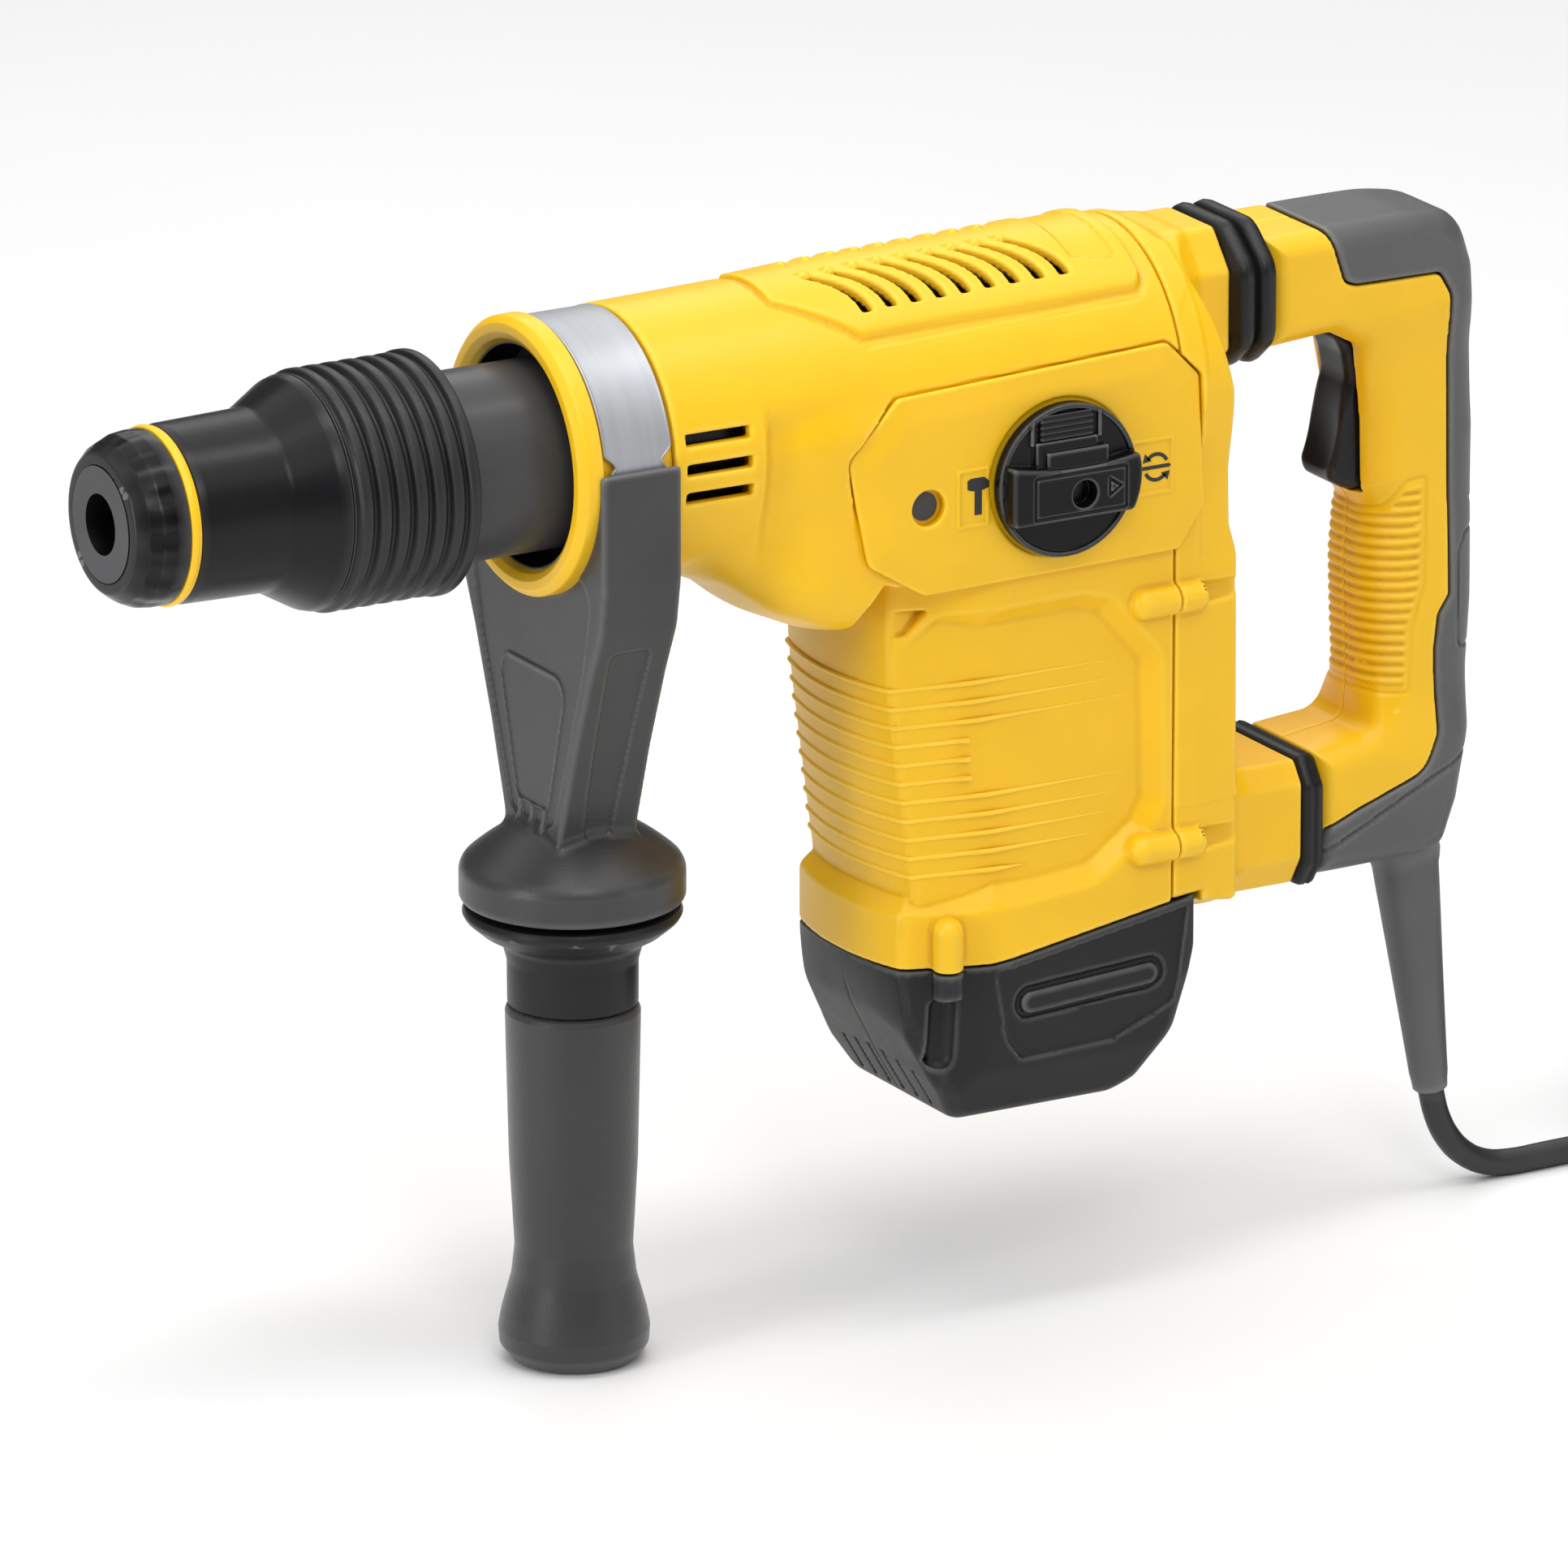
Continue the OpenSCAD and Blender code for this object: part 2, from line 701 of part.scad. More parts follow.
module mode_knob()
    color(black)
    difference() {
        union() {
            rod_y(knob_x, knob_z, -plate_y - 4.6, -plate_y - 0.4, knob_r, round_fn);
            rod_y(knob_x, knob_z, -plate_y - 0.4, -37, 7.8);
            intersection() {
                block(knob_x - 25, knob_x + 25, -plate_y - 8.4, -plate_y - 4, knob_z - 9.3, knob_z + 6.9);
                rod_y(knob_x, knob_z, -60, -40, knob_r, round_fn);
            }
        }
        // opening for the lock button
        block(knob_x - 8.4, knob_x + 8.4, -60, -plate_y - 1.2, knob_z + 7.6, knob_z + 18.4);
    }

module lock_button()
    color(charcoal)
    block(knob_x - 8, knob_x + 8, -plate_y - 7.4, -plate_y - 3.4, knob_z + 8, knob_z + 18);

// ---- side handle ----

module clamp_band()
    color(steel)
    tube_x(band_x + 0.2, band_end_x - 0.2, band_r, seat_r + 0.3);

yoke_front_x = 139.5;
yoke_back_x = 165.4;
yoke_inner_r = band_r + 0.4;
module handle_yoke()
    color(charcoal)
    difference() {
        union() {
            front_cut(concat(
                [[43, 3.5], [43, -30], [40.5, -45], [34, -60], [24.5, -86], [15.5, -116], [15.5, -126],
                 [-15.5, -126], [-15.5, -116], [-24.5, -86], [-34, -60], [-40.5, -45], [-43, -30],
                 [-43, 3.5]],
                arc(0, 0, yoke_inner_r, 175, 365, 24)
            ), yoke_front_x, yoke_back_x);
            rod_z(side_x, 0, -136.5, -125.5, flange_r);
        }
        rod_z(side_x, 0, -137, -40, 4.2);
        block(side_x - 9.2, side_x + 9.2, -9.2, 9.2, -45.8, -39);
        rod_z(side_x, 0, -137, -128, 12);
    }

module clamp_bolt()
    color(steel)
    union() {
        block(side_x - 9, side_x + 9, -9, 9, -45.6, -41.4);
        rod_z(side_x, 0, -160, -45.5, 4);
    }

module clamp_nut()
    color(steel)
    difference() {
        rod_z(side_x, 0, -158, -150, 7.5, 6);
        rod_z(side_x, 0, -160, -149, 4.06);
    }

module side_grip_core()
    color(charcoal)
    difference() {
        union() {
            rod_z(side_x, 0, -145.5, -138.5, flange_r - 0.6);
            rod_z(side_x, 0, -169, -145.5, 19.4);
            rod_z(side_x, 0, grip_bottom_z + 6, -169, 12);
        }
        rod_z(side_x, 0, -162, -138, 4.3);
        rod_z(side_x, 0, -158.1, -149.9, 7.6, 6);
    }

module side_grip_sleeve()
    color(grey)
    difference() {
        translate([side_x, 0, 0]) rotate_extrude($fn = round_fn) polygon([
            [0, grip_bottom_z], [19.5, grip_bottom_z], [21.6, grip_bottom_z + 1.5],
            [22.4, grip_bottom_z + 6], [21.6, -264], [18.4, -252], [17.4, -244], [18.6, -215],
            [19.8, -172], [19.4, -169.1], [0, -169.1]
        ]);
        rod_z(side_x, 0, grip_bottom_z + 6, -169, 12);
    }

// ---- rear handle ----

// Side outline of the whole handle, drawn in by d
function handle_outline(d) = concat(
    [[arm_top_x + d, 0.5 + d], [arm_top_x + d, 34.6 - d]],
    [[425, 35.2 - d]],
    arc(back_x - corner_r - 2, 13.2, corner_r + 2 - d, 84, 0, 8),
    [[back_x - 1 - d, -128], [452.5 - d, -150], [447.5 - d * 0.5, -165.4 + d], [408, -164.2 + d],
     [arm_low_x + d, -165.6 + d], [arm_low_x + d, -127.5 - d], [403, -126.5 - d]],
    arc(403.5 + d, -112, 14, -80, 0, 5),
    [[417.5 + d, -58], [412 + d, -52], [412 + d, -6], [405, 0.5 + d]]
);

// Side outline of the soft cover over the handle's back and top corner
function cover_outline(d) = [
    [388, 37.6], [396, 29], [403, 18], [408, 16], [436, 16], [441, 10], [442.5, 0], [443.5, -85],
    [439, -90], [439, -128], [434, -138.5], [409, -146], [401, -152], [398.6, -158],
    [392, -170], [470, -172], [470, 45], [388, 45]
];

module handle_body(d)
    union() {
        side_cut(handle_outline(d), -grip_half_w + d, grip_half_w - d);
        intersection() {
            side_cut(handle_outline(d), -arm_half_w + d, arm_half_w - d);
            union() {
                block(370, 470, -30, 30, 0, 45);
                block(390, 470, -30, 30, -170, -127);
            }
        }
    }

module handle_shell(s)
    color(yellow)
    difference() {
        intersection() {
            union() {
                difference() {
                    union() {
                        difference() {
                            handle_body(0);
                            side_cut(cover_outline(0), -40, 40);
                        }
                        handle_body(2.6);
                    }
                    // space for the switch and the wires
                    side_cut([
                        [386, 5], [386, 30], [430, 30], [442, 24], [450, 8], [450, -120], [446, -150],
                        [441, -158], [400, -158], [400, -134], [419, -132], [423.5, -118], [423.5, -58],
                        [420, -52], [420, -6], [408, 5]
                    ], -handle_space_half_w, handle_space_half_w);
                }
                for (p = handle_screw_places)
                    rod_y(p[0], p[1], -handle_space_half_w - 1, handle_space_half_w + 1, 4.6);
            }
            block(370, 470, s > 0 ? 0.01 : -40, s > 0 ? 40 : -0.01, -170, 45);
        }
        // room for the trigger
        block(403, 430, -9.6, 9.6, -56, -1.2);
        // tongue pocket and the two pins
        block(arm_low_x - 1, 420, -8.2, 8.2, pivot_z - 10.5, pivot_z + 10.5);
        rod_y(pivot_x, pivot_z, -14, 14, 4);
        rod_y(trigger_pin_x, trigger_pin_z, -13, 13, 2);
        guard_space();
        // pocket for the damper spring
        translate([arm_top_x - 1, 0, 18]) rotate([0, 90, 0]) cylinder(h = 9, r = 10, $fn = small_fn);
        for (p = handle_screw_places) {
            rod_y(p[0], p[1], -8.2, 10, 1.7, 24);
            rod_y(p[0], p[1], 9, 40, 3.5);
        }
    }

handle_space_half_w = grip_half_w - 5.5;
handle_screw_places = [[392, 14], [434.5, -62], [433, -112], [425, -134.2]];
module handle_shell_left() handle_shell(-1);
module handle_shell_right() handle_shell(1);

module handle_overmould()
    color(grey)
    difference() {
        intersection() {
            handle_body(0);
            side_cut(cover_outline(0), -40, 40);
        }
        handle_body(2.6);
        guard_space();
    }

module handle_screws()
    color(dark_steel)
    for (p = handle_screw_places)
        union() {
            rod_y(p[0], p[1], 9, 12, 3.4);
            rod_y(p[0], p[1], -8, 9, 1.6, 24);
        }

module pivot_pin()
    color(steel)
    rod_y(pivot_x, pivot_z, -14, 14, 4);

module damper_spring()
    color(steel)
    translate([0, 0, 18])
        swept_tube(spring_line(351.5, 385.5, 8, 5), 1.2, 6);

// Folded rubber collar, octagonal like the arm that it covers
module top_bellows()
    color(black)
    difference() {
        union() {
            for (x = [364.3, 371.9])
                front_cut(bellows_outline(26, 22.5, 18), x, x + 5.4);
            front_cut(bellows_outline(23, 19.5, 18), 363.1, 378.4);
        }
        front_cut(bellows_outline(20.5, 17, 18), 362, 380);
    }

function bellows_outline(w, h, z) = [
    [-w, z - h * 0.55], [-w * 0.55, z - h], [w * 0.55, z - h], [w, z - h * 0.55],
    [w, z + h * 0.5], [w * 0.5, z + h], [-w * 0.5, z + h], [-w, z + h * 0.5]
];

module lower_seal()
    color(black)
    difference() {
        front_cut(seal_outline(25.5, 20.5), stub_low_x + 0.1, arm_low_x - 0.1);
        front_cut(seal_outline(18, 14), stub_low_x - 1, arm_low_x + 1);
    }

function seal_outline(w, h) = [
    [-w, -147 - h * 0.6], [-w * 0.8, -147 - h], [w * 0.8, -147 - h], [w, -147 - h * 0.6],
    [w, -147 + h * 0.6], [w * 0.78, -147 + h], [-w * 0.78, -147 + h], [-w, -147 + h * 0.6]
];

module switch_block()
    color(black)
    block(428.5, 448, -11, 11, -52, -6);

module trigger_pin()
    color(steel)
    rod_y(trigger_pin_x, trigger_pin_z, -13, 13, 2);

module trigger()
    color(black)
    difference() {
        side_cut([
            [405.3, -3.4], [407.5, -10], [407.5, -20], [404, -29], [400.8, -37], [403, -44],
            [407, -47], [412, -52], [416, -53.5], [421, -53], [421, -12], [420, -4], [416, -2.6],
            [410, -2]
        ], -9.2, 9.2);
        rod_y(trigger_pin_x, trigger_pin_z, -13, 13, 2 + running_gap);
    }

// ---- cord ----

module cord_clamp()
    color(charcoal)
    difference() {
        block(426, 444, -10, 10, -149, -141);
        translate([438, 0, -172]) rotate([0, -7.9, 0]) cylinder(h = 40, r = cord_d / 2, $fn = small_fn);
    }

guard_len = norm(guard_end - guard_top);
guard_tilt = 180 - atan2(guard_end[0] - guard_top[0], guard_top[2] - guard_end[2]);

// Cavity in the handle's bottom that holds the cord guard's root
module guard_space()
    translate(guard_top) rotate([0, guard_tilt, 0]) {
        translate([0, 0, -13.5]) cylinder(h = 14, r = 9.1, $fn = small_fn);
        translate([0, 0, -1.5]) cylinder(h = 20, r = 10.8, $fn = small_fn);
    }

module cord_guard()
    color(charcoal)
    translate(guard_top)
        rotate([0, guard_tilt, 0])
            rotate_extrude($fn = small_fn) polygon([
                [0, -13], [8.8, -13], [8.8, -1], [10.4, 0.5], [8.8, 14], [6.2, guard_len - 6],
                [5.6, guard_len], [0, guard_len]
            ]);

module power_cord()
    color(black)
    swept_tube(concat(cord_route, coil_entry), cord_d / 2, 8);

// Last stretch of the cord, which runs in beside the coil's outer turn
coil_entry = [[coil_centre[0] - 58.4, coil_centre[1] - 33.6, cord_z]];

module cord_coil()
    color(black)
    translate([coil_centre[0], coil_centre[1], 0])
        rotate_extrude($fn = round_fn) polygon([
            [coil_inner_r + 1.5, floor_z], [coil_outer_r - 1.5, floor_z], [coil_outer_r, floor_z + 2],
            [coil_outer_r, coil_top_z - 2], [coil_outer_r - 1.5, coil_top_z],
            [coil_inner_r + 1.5, coil_top_z], [coil_inner_r, coil_top_z - 2], [coil_inner_r, floor_z + 2]
        ]);

plug_x = coil_centre[0] + 54;
plug_z = coil_top_z + 12;
module plug_body()
    color(black)
    translate([plug_x, 0, plug_z])
        union() {
            hull()
                for (s = [-1, 1])
                    translate([s * 7, coil_centre[1], 0])
                        rotate([-90, 0, 0]) cylinder(h = 36, r = 11.9, $fn = 32);
            translate([0, coil_centre[1] - 22, 0])
                rotate([-90, 0, 0]) cylinder(h = 22.5, r1 = 5, r2 = 8, $fn = 32);
        }

module plug_pins()
    color(brass)
    for (s = [-1, 1])
        translate([plug_x + 9.2 * s, coil_centre[1] + 36, plug_z])
            rotate([-90, 0, 0]) cylinder(h = 19, r = 2.4, $fn = 24);

// ---- nodes ----

tool_holder();
dust_cap();
marking_ring();
locking_rollers();
sleeve_spring();
locking_sleeve();
sleeve_grip();
beat_piece();
ram();
piston();
wrist_pin();
con_rod();
gearcase_nose();
front_collar();
spindle_bush();
hammer_cylinder();
barrel_housing();
side_plate_left();
side_plate_right();
motor_housing();
rear_housing();
motor_cap();
gear_plate();
ball_bearings();
stator_core();
brush_holders();
carbon_brushes();
housing_screws();
armature_shaft();
armature_core();
commutator();
cooling_fan();
crankshaft();
crank_gear();
mode_knob();
lock_button();
clamp_band();
handle_yoke();
clamp_bolt();
clamp_nut();
side_grip_core();
side_grip_sleeve();
handle_shell_left();
handle_shell_right();
handle_overmould();
handle_screws();
pivot_pin();
damper_spring();
top_bellows();
lower_seal();
switch_block();
trigger_pin();
trigger();
cord_clamp();
cord_guard();
power_cord();
cord_coil();
plug_body();
plug_pins();
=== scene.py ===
"""Demolition hammer: the visible pieces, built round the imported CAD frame.

Shapes are written in millimetres in the CAD frame and become metres in the meshes.
"""
import functools
import math

import bpy
import numpy as np
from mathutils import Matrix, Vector


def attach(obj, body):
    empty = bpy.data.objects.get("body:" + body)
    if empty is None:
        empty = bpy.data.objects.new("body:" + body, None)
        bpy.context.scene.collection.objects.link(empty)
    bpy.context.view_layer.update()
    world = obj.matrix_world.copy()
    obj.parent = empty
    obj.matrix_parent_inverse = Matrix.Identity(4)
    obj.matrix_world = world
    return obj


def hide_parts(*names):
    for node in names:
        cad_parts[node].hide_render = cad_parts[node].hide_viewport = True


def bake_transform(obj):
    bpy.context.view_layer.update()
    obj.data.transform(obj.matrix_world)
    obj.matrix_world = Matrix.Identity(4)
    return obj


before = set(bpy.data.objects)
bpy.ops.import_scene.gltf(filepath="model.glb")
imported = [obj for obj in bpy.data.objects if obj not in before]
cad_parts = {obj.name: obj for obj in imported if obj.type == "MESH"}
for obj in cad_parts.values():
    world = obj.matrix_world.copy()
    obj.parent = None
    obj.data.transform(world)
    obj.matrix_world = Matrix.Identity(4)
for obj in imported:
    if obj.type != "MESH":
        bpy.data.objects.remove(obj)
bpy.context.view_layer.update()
MM = 0.001


def add_object(name, data):
    """Links a new object to the scene."""
    made = bpy.data.objects.new(name, data)
    bpy.context.scene.collection.objects.link(made)
    return made


# ---------------------------------------------------------------- camera and stage

AZIMUTH = math.radians(30)
ELEVATION = math.radians(17.3)
CAMERA_DISTANCE = 5
LENS_MM = 393.8
FLOOR_Z = -278 * MM

look = Vector((math.sin(AZIMUTH) * math.cos(ELEVATION), math.cos(AZIMUTH) * math.cos(ELEVATION),
    -math.sin(ELEVATION)))
right = Vector((math.cos(AZIMUTH), -math.sin(AZIMUTH), 0))
up = right.cross(look)
middle = Vector((0.214, 0, -0.07))
camera_data = bpy.data.cameras.new("camera")
camera_data.lens = LENS_MM
camera_data.sensor_width = 36
camera_data.clip_end = 50
camera = add_object("camera", camera_data)
camera.location = middle - look * CAMERA_DISTANCE
aim = middle + right * 0.0092 - up * 0.0398
camera.rotation_euler = (aim - camera.location).to_track_quat("-Z", "Y").to_euler()
bpy.context.scene.camera = camera
bpy.context.scene.view_settings.view_transform = "Standard"


def area_light(name, location, target, size, watts):
    """A soft white rectangular light at location, facing target."""
    data = bpy.data.lights.new(name, "AREA")
    data.shape = "RECTANGLE"
    data.size, data.size_y = size
    data.energy = watts
    light = add_object(name, data)
    light.location = location
    light.rotation_euler = (Vector(target) - light.location).to_track_quat("-Z", "Y").to_euler()


AIM_POINT = (0.22, 0, -0.08)
area_light("top_panel", (0.3, 0, 3.5), (0.3, 0.001, 0), (9, 9), 335)
area_light("key_light", (-0.2, -1.35, 1.25), AIM_POINT, (0.5, 0.7), 6.5)
area_light("side_fill", (1.2, -1.4, 0.2), AIM_POINT, (0.4, 1.2), 3.6)
area_light("nose_strip", (-1.4, -0.3, 0.1), AIM_POINT, (0.3, 1.2), 11)
area_light("overhead_strip", (0.25, -0.2, 1.3), (0.25, 0, 0), (1.3, 0.25), 6.5)
area_light("back_rim", (0.8, 1.2, 0.8), AIM_POINT, (0.9, 0.6), 2.5)

world = bpy.data.worlds.new("studio")
bpy.context.scene.world = world
world.use_nodes = True
world.node_tree.nodes["Background"].inputs["Color"].default_value = (1, 1, 1, 1)
world.node_tree.nodes["Background"].inputs["Strength"].default_value = 0.1

# ---------------------------------------------------------------- materials


def link(tree, a, out_name, b, in_name):
    """Joins two node sockets by name or number."""
    tree.links.new(a.outputs[out_name], b.inputs[in_name])


def material(name, color, roughness, metallic=0, tint=0.06, tint_scale=35, grain=0.04, grain_scale=2600,
        rough_spread=0.06, stretch=(1, 1, 1), specular=0.5, edge=0, painted_crease_shade=0, sheen=0):
    """A procedural surface: cloudy colour, uneven gloss, a fine grain, painted highlights on convex edges
    and painted shade in creases.
    """
    made = bpy.data.materials.new(name)
    made.use_nodes = True
    tree = made.node_tree
    shader = tree.nodes["Principled BSDF"]
    shader.inputs["Metallic"].default_value = metallic
    shader.inputs["Specular IOR Level"].default_value = specular
    shader.inputs["Sheen Weight"].default_value = sheen
    coords = tree.nodes.new("ShaderNodeTexCoord")
    mapping = tree.nodes.new("ShaderNodeMapping")
    mapping.inputs["Scale"].default_value = stretch
    link(tree, coords, "Object", mapping, "Vector")

    def noise(scale, detail):
        made_noise = tree.nodes.new("ShaderNodeTexNoise")
        made_noise.inputs["Scale"].default_value = scale
        made_noise.inputs["Detail"].default_value = detail
        link(tree, mapping, "Vector", made_noise, "Vector")
        return made_noise

    shades = tree.nodes.new("ShaderNodeValToRGB")
    for element, position, share in zip(shades.color_ramp.elements, (0.3, 0.7), (1 - tint, 1 + tint)):
        element.position = position
        element.color = tuple(min(1, c * share) for c in color) + (1,)
    link(tree, noise(tint_scale, 4), "Fac", shades, "Fac")
    base = (shades, "Color")
    # pointiness is above 0.5 on convex edges and below it in creases; the first pass paints a pale highlight
    # on the convex edges, the second paints darker shade into the creases
    edge_highlight_lift = 0.3 if max(color) < 0.5 else 0.09
    edge_highlight_color = tuple(min(1, edge_highlight_lift + c * 1.3) for c in color)
    crease_shade_color = tuple(c * c * 0.55 for c in color)
    for amount, bounds, toward in ((edge, (0.505, 0.56), edge_highlight_color), (painted_crease_shade, (0.495, 0.44), crease_shade_color)):
        if not amount:
            continue
        relief = tree.nodes.new("ShaderNodeNewGeometry")
        blend = tree.nodes.new("ShaderNodeMapRange")
        blend.inputs["From Min"].default_value, blend.inputs["From Max"].default_value = bounds
        blend.inputs["To Max"].default_value = amount
        link(tree, relief, "Pointiness", blend, "Value")
        mixed = tree.nodes.new("ShaderNodeMix")
        mixed.data_type = "RGBA"
        mixed.inputs[7].default_value = toward + (1,)
        link(tree, blend, "Result", mixed, 0)
        link(tree, *base, mixed, 6)
        base = (mixed, 2)
    link(tree, *base, shader, "Base Color")

    gloss = tree.nodes.new("ShaderNodeMapRange")
    gloss.inputs["To Min"].default_value = max(0.02, roughness - rough_spread)
    gloss.inputs["To Max"].default_value = min(1, roughness + rough_spread)
    link(tree, noise(tint_scale * 4, 3), "Fac", gloss, "Value")
    link(tree, gloss, "Result", shader, "Roughness")

    bump = tree.nodes.new("ShaderNodeBump")
    bump.inputs["Strength"].default_value = grain
    bump.inputs["Distance"].default_value = 0.0004
    link(tree, noise(grain_scale, 2), "Fac", bump, "Height")
    link(tree, bump, "Normal", shader, "Normal")
    return made


# The edge amounts below paint pale highlights on convex edges, and the crease amounts paint shade into
# creases.
YELLOW = material("yellow_moulded", (0.85, 0.49, 0.004), 0.38, tint=0.03, grain=0.1, grain_scale=2200,
    specular=0.36, edge=0.42, painted_crease_shade=0.65)
CHARCOAL = material("charcoal_moulded", (0.015, 0.015, 0.016), 0.38, tint=0.1, grain=0.2, specular=0.2,
    grain_scale=1900, edge=0.3)
YOKE_GREY = material("yoke_moulded", (0.036, 0.036, 0.037), 0.36, tint=0.12, grain=0.2, grain_scale=1900,
    specular=0.4, edge=0.3)
BLACK = material("black_moulded", (0.007, 0.007, 0.008), 0.3, tint=0.12, grain=0.08, grain_scale=2400,
    specular=0.2, edge=0.16)
BLACK_GLOSS = material("black_polished", (0.004, 0.004, 0.005), 0.24, tint=0.12, grain=0.03, specular=0.16,
    edge=0.4)
GRIP_RUBBER = material("grip_rubber", (0.026, 0.026, 0.027), 0.44, tint=0.08, grain=0.3, specular=0.4,
    sheen=0.25, grain_scale=1600, rough_spread=0.08)
GREY_RUBBER = material("grey_rubber", (0.08, 0.08, 0.082), 0.46, tint=0.08, grain=0.3, edge=0.25,
    painted_crease_shade=0.7, grain_scale=1600, rough_spread=0.08)
BLACK_RUBBER = material("black_rubber", (0.008, 0.008, 0.009), 0.4, tint=0.12, grain=0.18, specular=0.32,
    edge=0.12, grain_scale=1700, rough_spread=0.08)
BAND_STEEL = material("band_steel", (0.41, 0.42, 0.44), 0.48, metallic=0.8, tint=0.05, grain=0.1,
    stretch=(12, 0.6, 0.6), grain_scale=700, edge=0.2)
STEEL = material("ground_steel", (0.46, 0.47, 0.49), 0.3, metallic=1, tint=0.08, grain=0.1,
    stretch=(1, 1, 8), grain_scale=500)
HOLDER_STEEL = material("holder_steel", (0.085, 0.085, 0.09), 0.34, metallic=1, tint=0.12, grain=0.1)
DARK_STEEL = material("oiled_steel", (0.16, 0.16, 0.17), 0.36, metallic=1, tint=0.12, grain=0.12)
CAST = material("cast_alloy", (0.42, 0.43, 0.45), 0.5, metallic=0.9, tint=0.1, grain=0.4, grain_scale=900)
IRON = material("stacked_iron", (0.1, 0.09, 0.085), 0.5, metallic=0.7, tint=0.15, grain=0.5,
    stretch=(0.2, 0.2, 14), grain_scale=260)
BRONZE = material("bronze", (0.5, 0.3, 0.11), 0.36, metallic=1, tint=0.1, grain=0.15)
COPPER = material("copper", (0.72, 0.32, 0.18), 0.3, metallic=1, tint=0.1, grain=0.15,
    stretch=(10, 10, 0.4), grain_scale=300)
BRASS = material("brass", (0.74, 0.53, 0.2), 0.26, metallic=1, tint=0.06, grain=0.08)
CARBON = material("carbon", (0.03, 0.03, 0.032), 0.7, tint=0.15, grain=0.4, grain_scale=1200)
PRINT_BLACK = material("printed_black", (0.01, 0.01, 0.012), 0.5, tint=0.1, grain=0.05)
FLOOR = material("pale_floor", (0.84, 0.84, 0.84), 0.75, tint=0.01, tint_scale=2, grain=0.02,
    grain_scale=60)

NODE_MATERIALS = {
    HOLDER_STEEL: "tool_holder",
    STEEL: "locking_rollers sleeve_spring beat_piece ram piston wrist_pin con_rod ball_bearings "
           "armature_shaft crankshaft pivot_pin damper_spring trigger_pin hammer_cylinder",
    DARK_STEEL: "crank_gear housing_screws handle_screws clamp_bolt clamp_nut",
    CAST: "gear_plate",
    IRON: "stator_core armature_core",
    BRONZE: "spindle_bush",
    COPPER: "commutator",
    BRASS: "brush_holders",
    CARBON: "carbon_brushes",
    BLACK: "switch_block cooling_fan gearcase_nose",
    CHARCOAL: "cord_clamp",
}
for surface, names in NODE_MATERIALS.items():
    for node_name in names.split():
        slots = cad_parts[node_name].data.materials
        slots.clear()
        slots.append(surface)

# ---------------------------------------------------------------- mesh tools


def add_mesh(name, points, faces, surface, normals=None, smooth_angle=None):
    """Makes an object from points in millimetres and faces of any size."""
    mesh = bpy.data.meshes.new(name)
    points = np.asarray(points, float) * MM
    if isinstance(faces, np.ndarray):
        count, sides = faces.shape
        mesh.vertices.add(len(points))
        mesh.vertices.foreach_set("co", points.astype(np.float32).ravel())
        mesh.loops.add(count * sides)
        mesh.loops.foreach_set("vertex_index", faces.astype(np.int32).ravel())
        mesh.polygons.add(count)
        mesh.polygons.foreach_set("loop_start", np.arange(0, count * sides, sides, dtype=np.int32))
        mesh.update(calc_edges=True)
        mesh.validate()
    else:
        mesh.from_pydata(points.tolist(), [], faces)
    mesh.materials.append(surface)
    mesh.shade_smooth()
    if smooth_angle is not None:
        mesh.set_sharp_from_angle(angle=math.radians(smooth_angle))
    if normals is not None:
        mesh.normals_split_custom_set_from_vertices(normals.tolist())
    return add_object(name, mesh)


def swept_faces(rows, count, caps=False, flip=False, wrap=False):
    """Quads between successive closed rows of count points; caps close the two ends."""
    faces = []
    for i in range(rows if wrap else rows - 1):
        a, b = i * count, (i + 1) % rows * count
        for k in range(count):
            j = (k + 1) % count
            faces.append((a + k, a + j, b + j, b + k) if flip else (a + k, b + k, b + j, a + j))
    if caps:
        first, last = tuple(range(count)), tuple((rows - 1) * count + k for k in range(count))
        faces += [first[::-1], last] if flip else [first, last[::-1]]
    return faces


def soften(corners, closed=True, steps=6):
    """Outline points from (u, v) or (u, v, radius) corners, each corner rounded to its radius."""
    points = []
    count = len(corners)
    for i, corner in enumerate(corners):
        here = np.array(corner[:2], float)
        radius = corner[2] if len(corner) > 2 else 0
        at_end = not closed and i in (0, count - 1)
        if radius <= 0 or at_end:
            points.append(tuple(here))
            continue
        back = np.array(corners[i - 1][:2], float) - here
        ahead = np.array(corners[(i + 1) % count][:2], float) - here
        reach_limit = 0.49 * min(np.linalg.norm(back), np.linalg.norm(ahead))
        back /= np.linalg.norm(back)
        ahead /= np.linalg.norm(ahead)
        half = 0.5 * math.acos(float(np.clip(back @ ahead, -0.9999, 0.9999)))
        reach = min(radius / math.tan(half), reach_limit)
        bisector = (back + ahead) / np.linalg.norm(back + ahead)
        centre = here + bisector * reach / math.cos(half)
        first = here + back * reach - centre
        last = here + ahead * reach - centre
        turn = math.pi - 2 * half
        for t in np.linspace(0, 1, steps):
            arm = first * math.sin((1 - t) * turn) + last * math.sin(t * turn)
            points.append(tuple(centre + arm / math.sin(turn)))
    return points


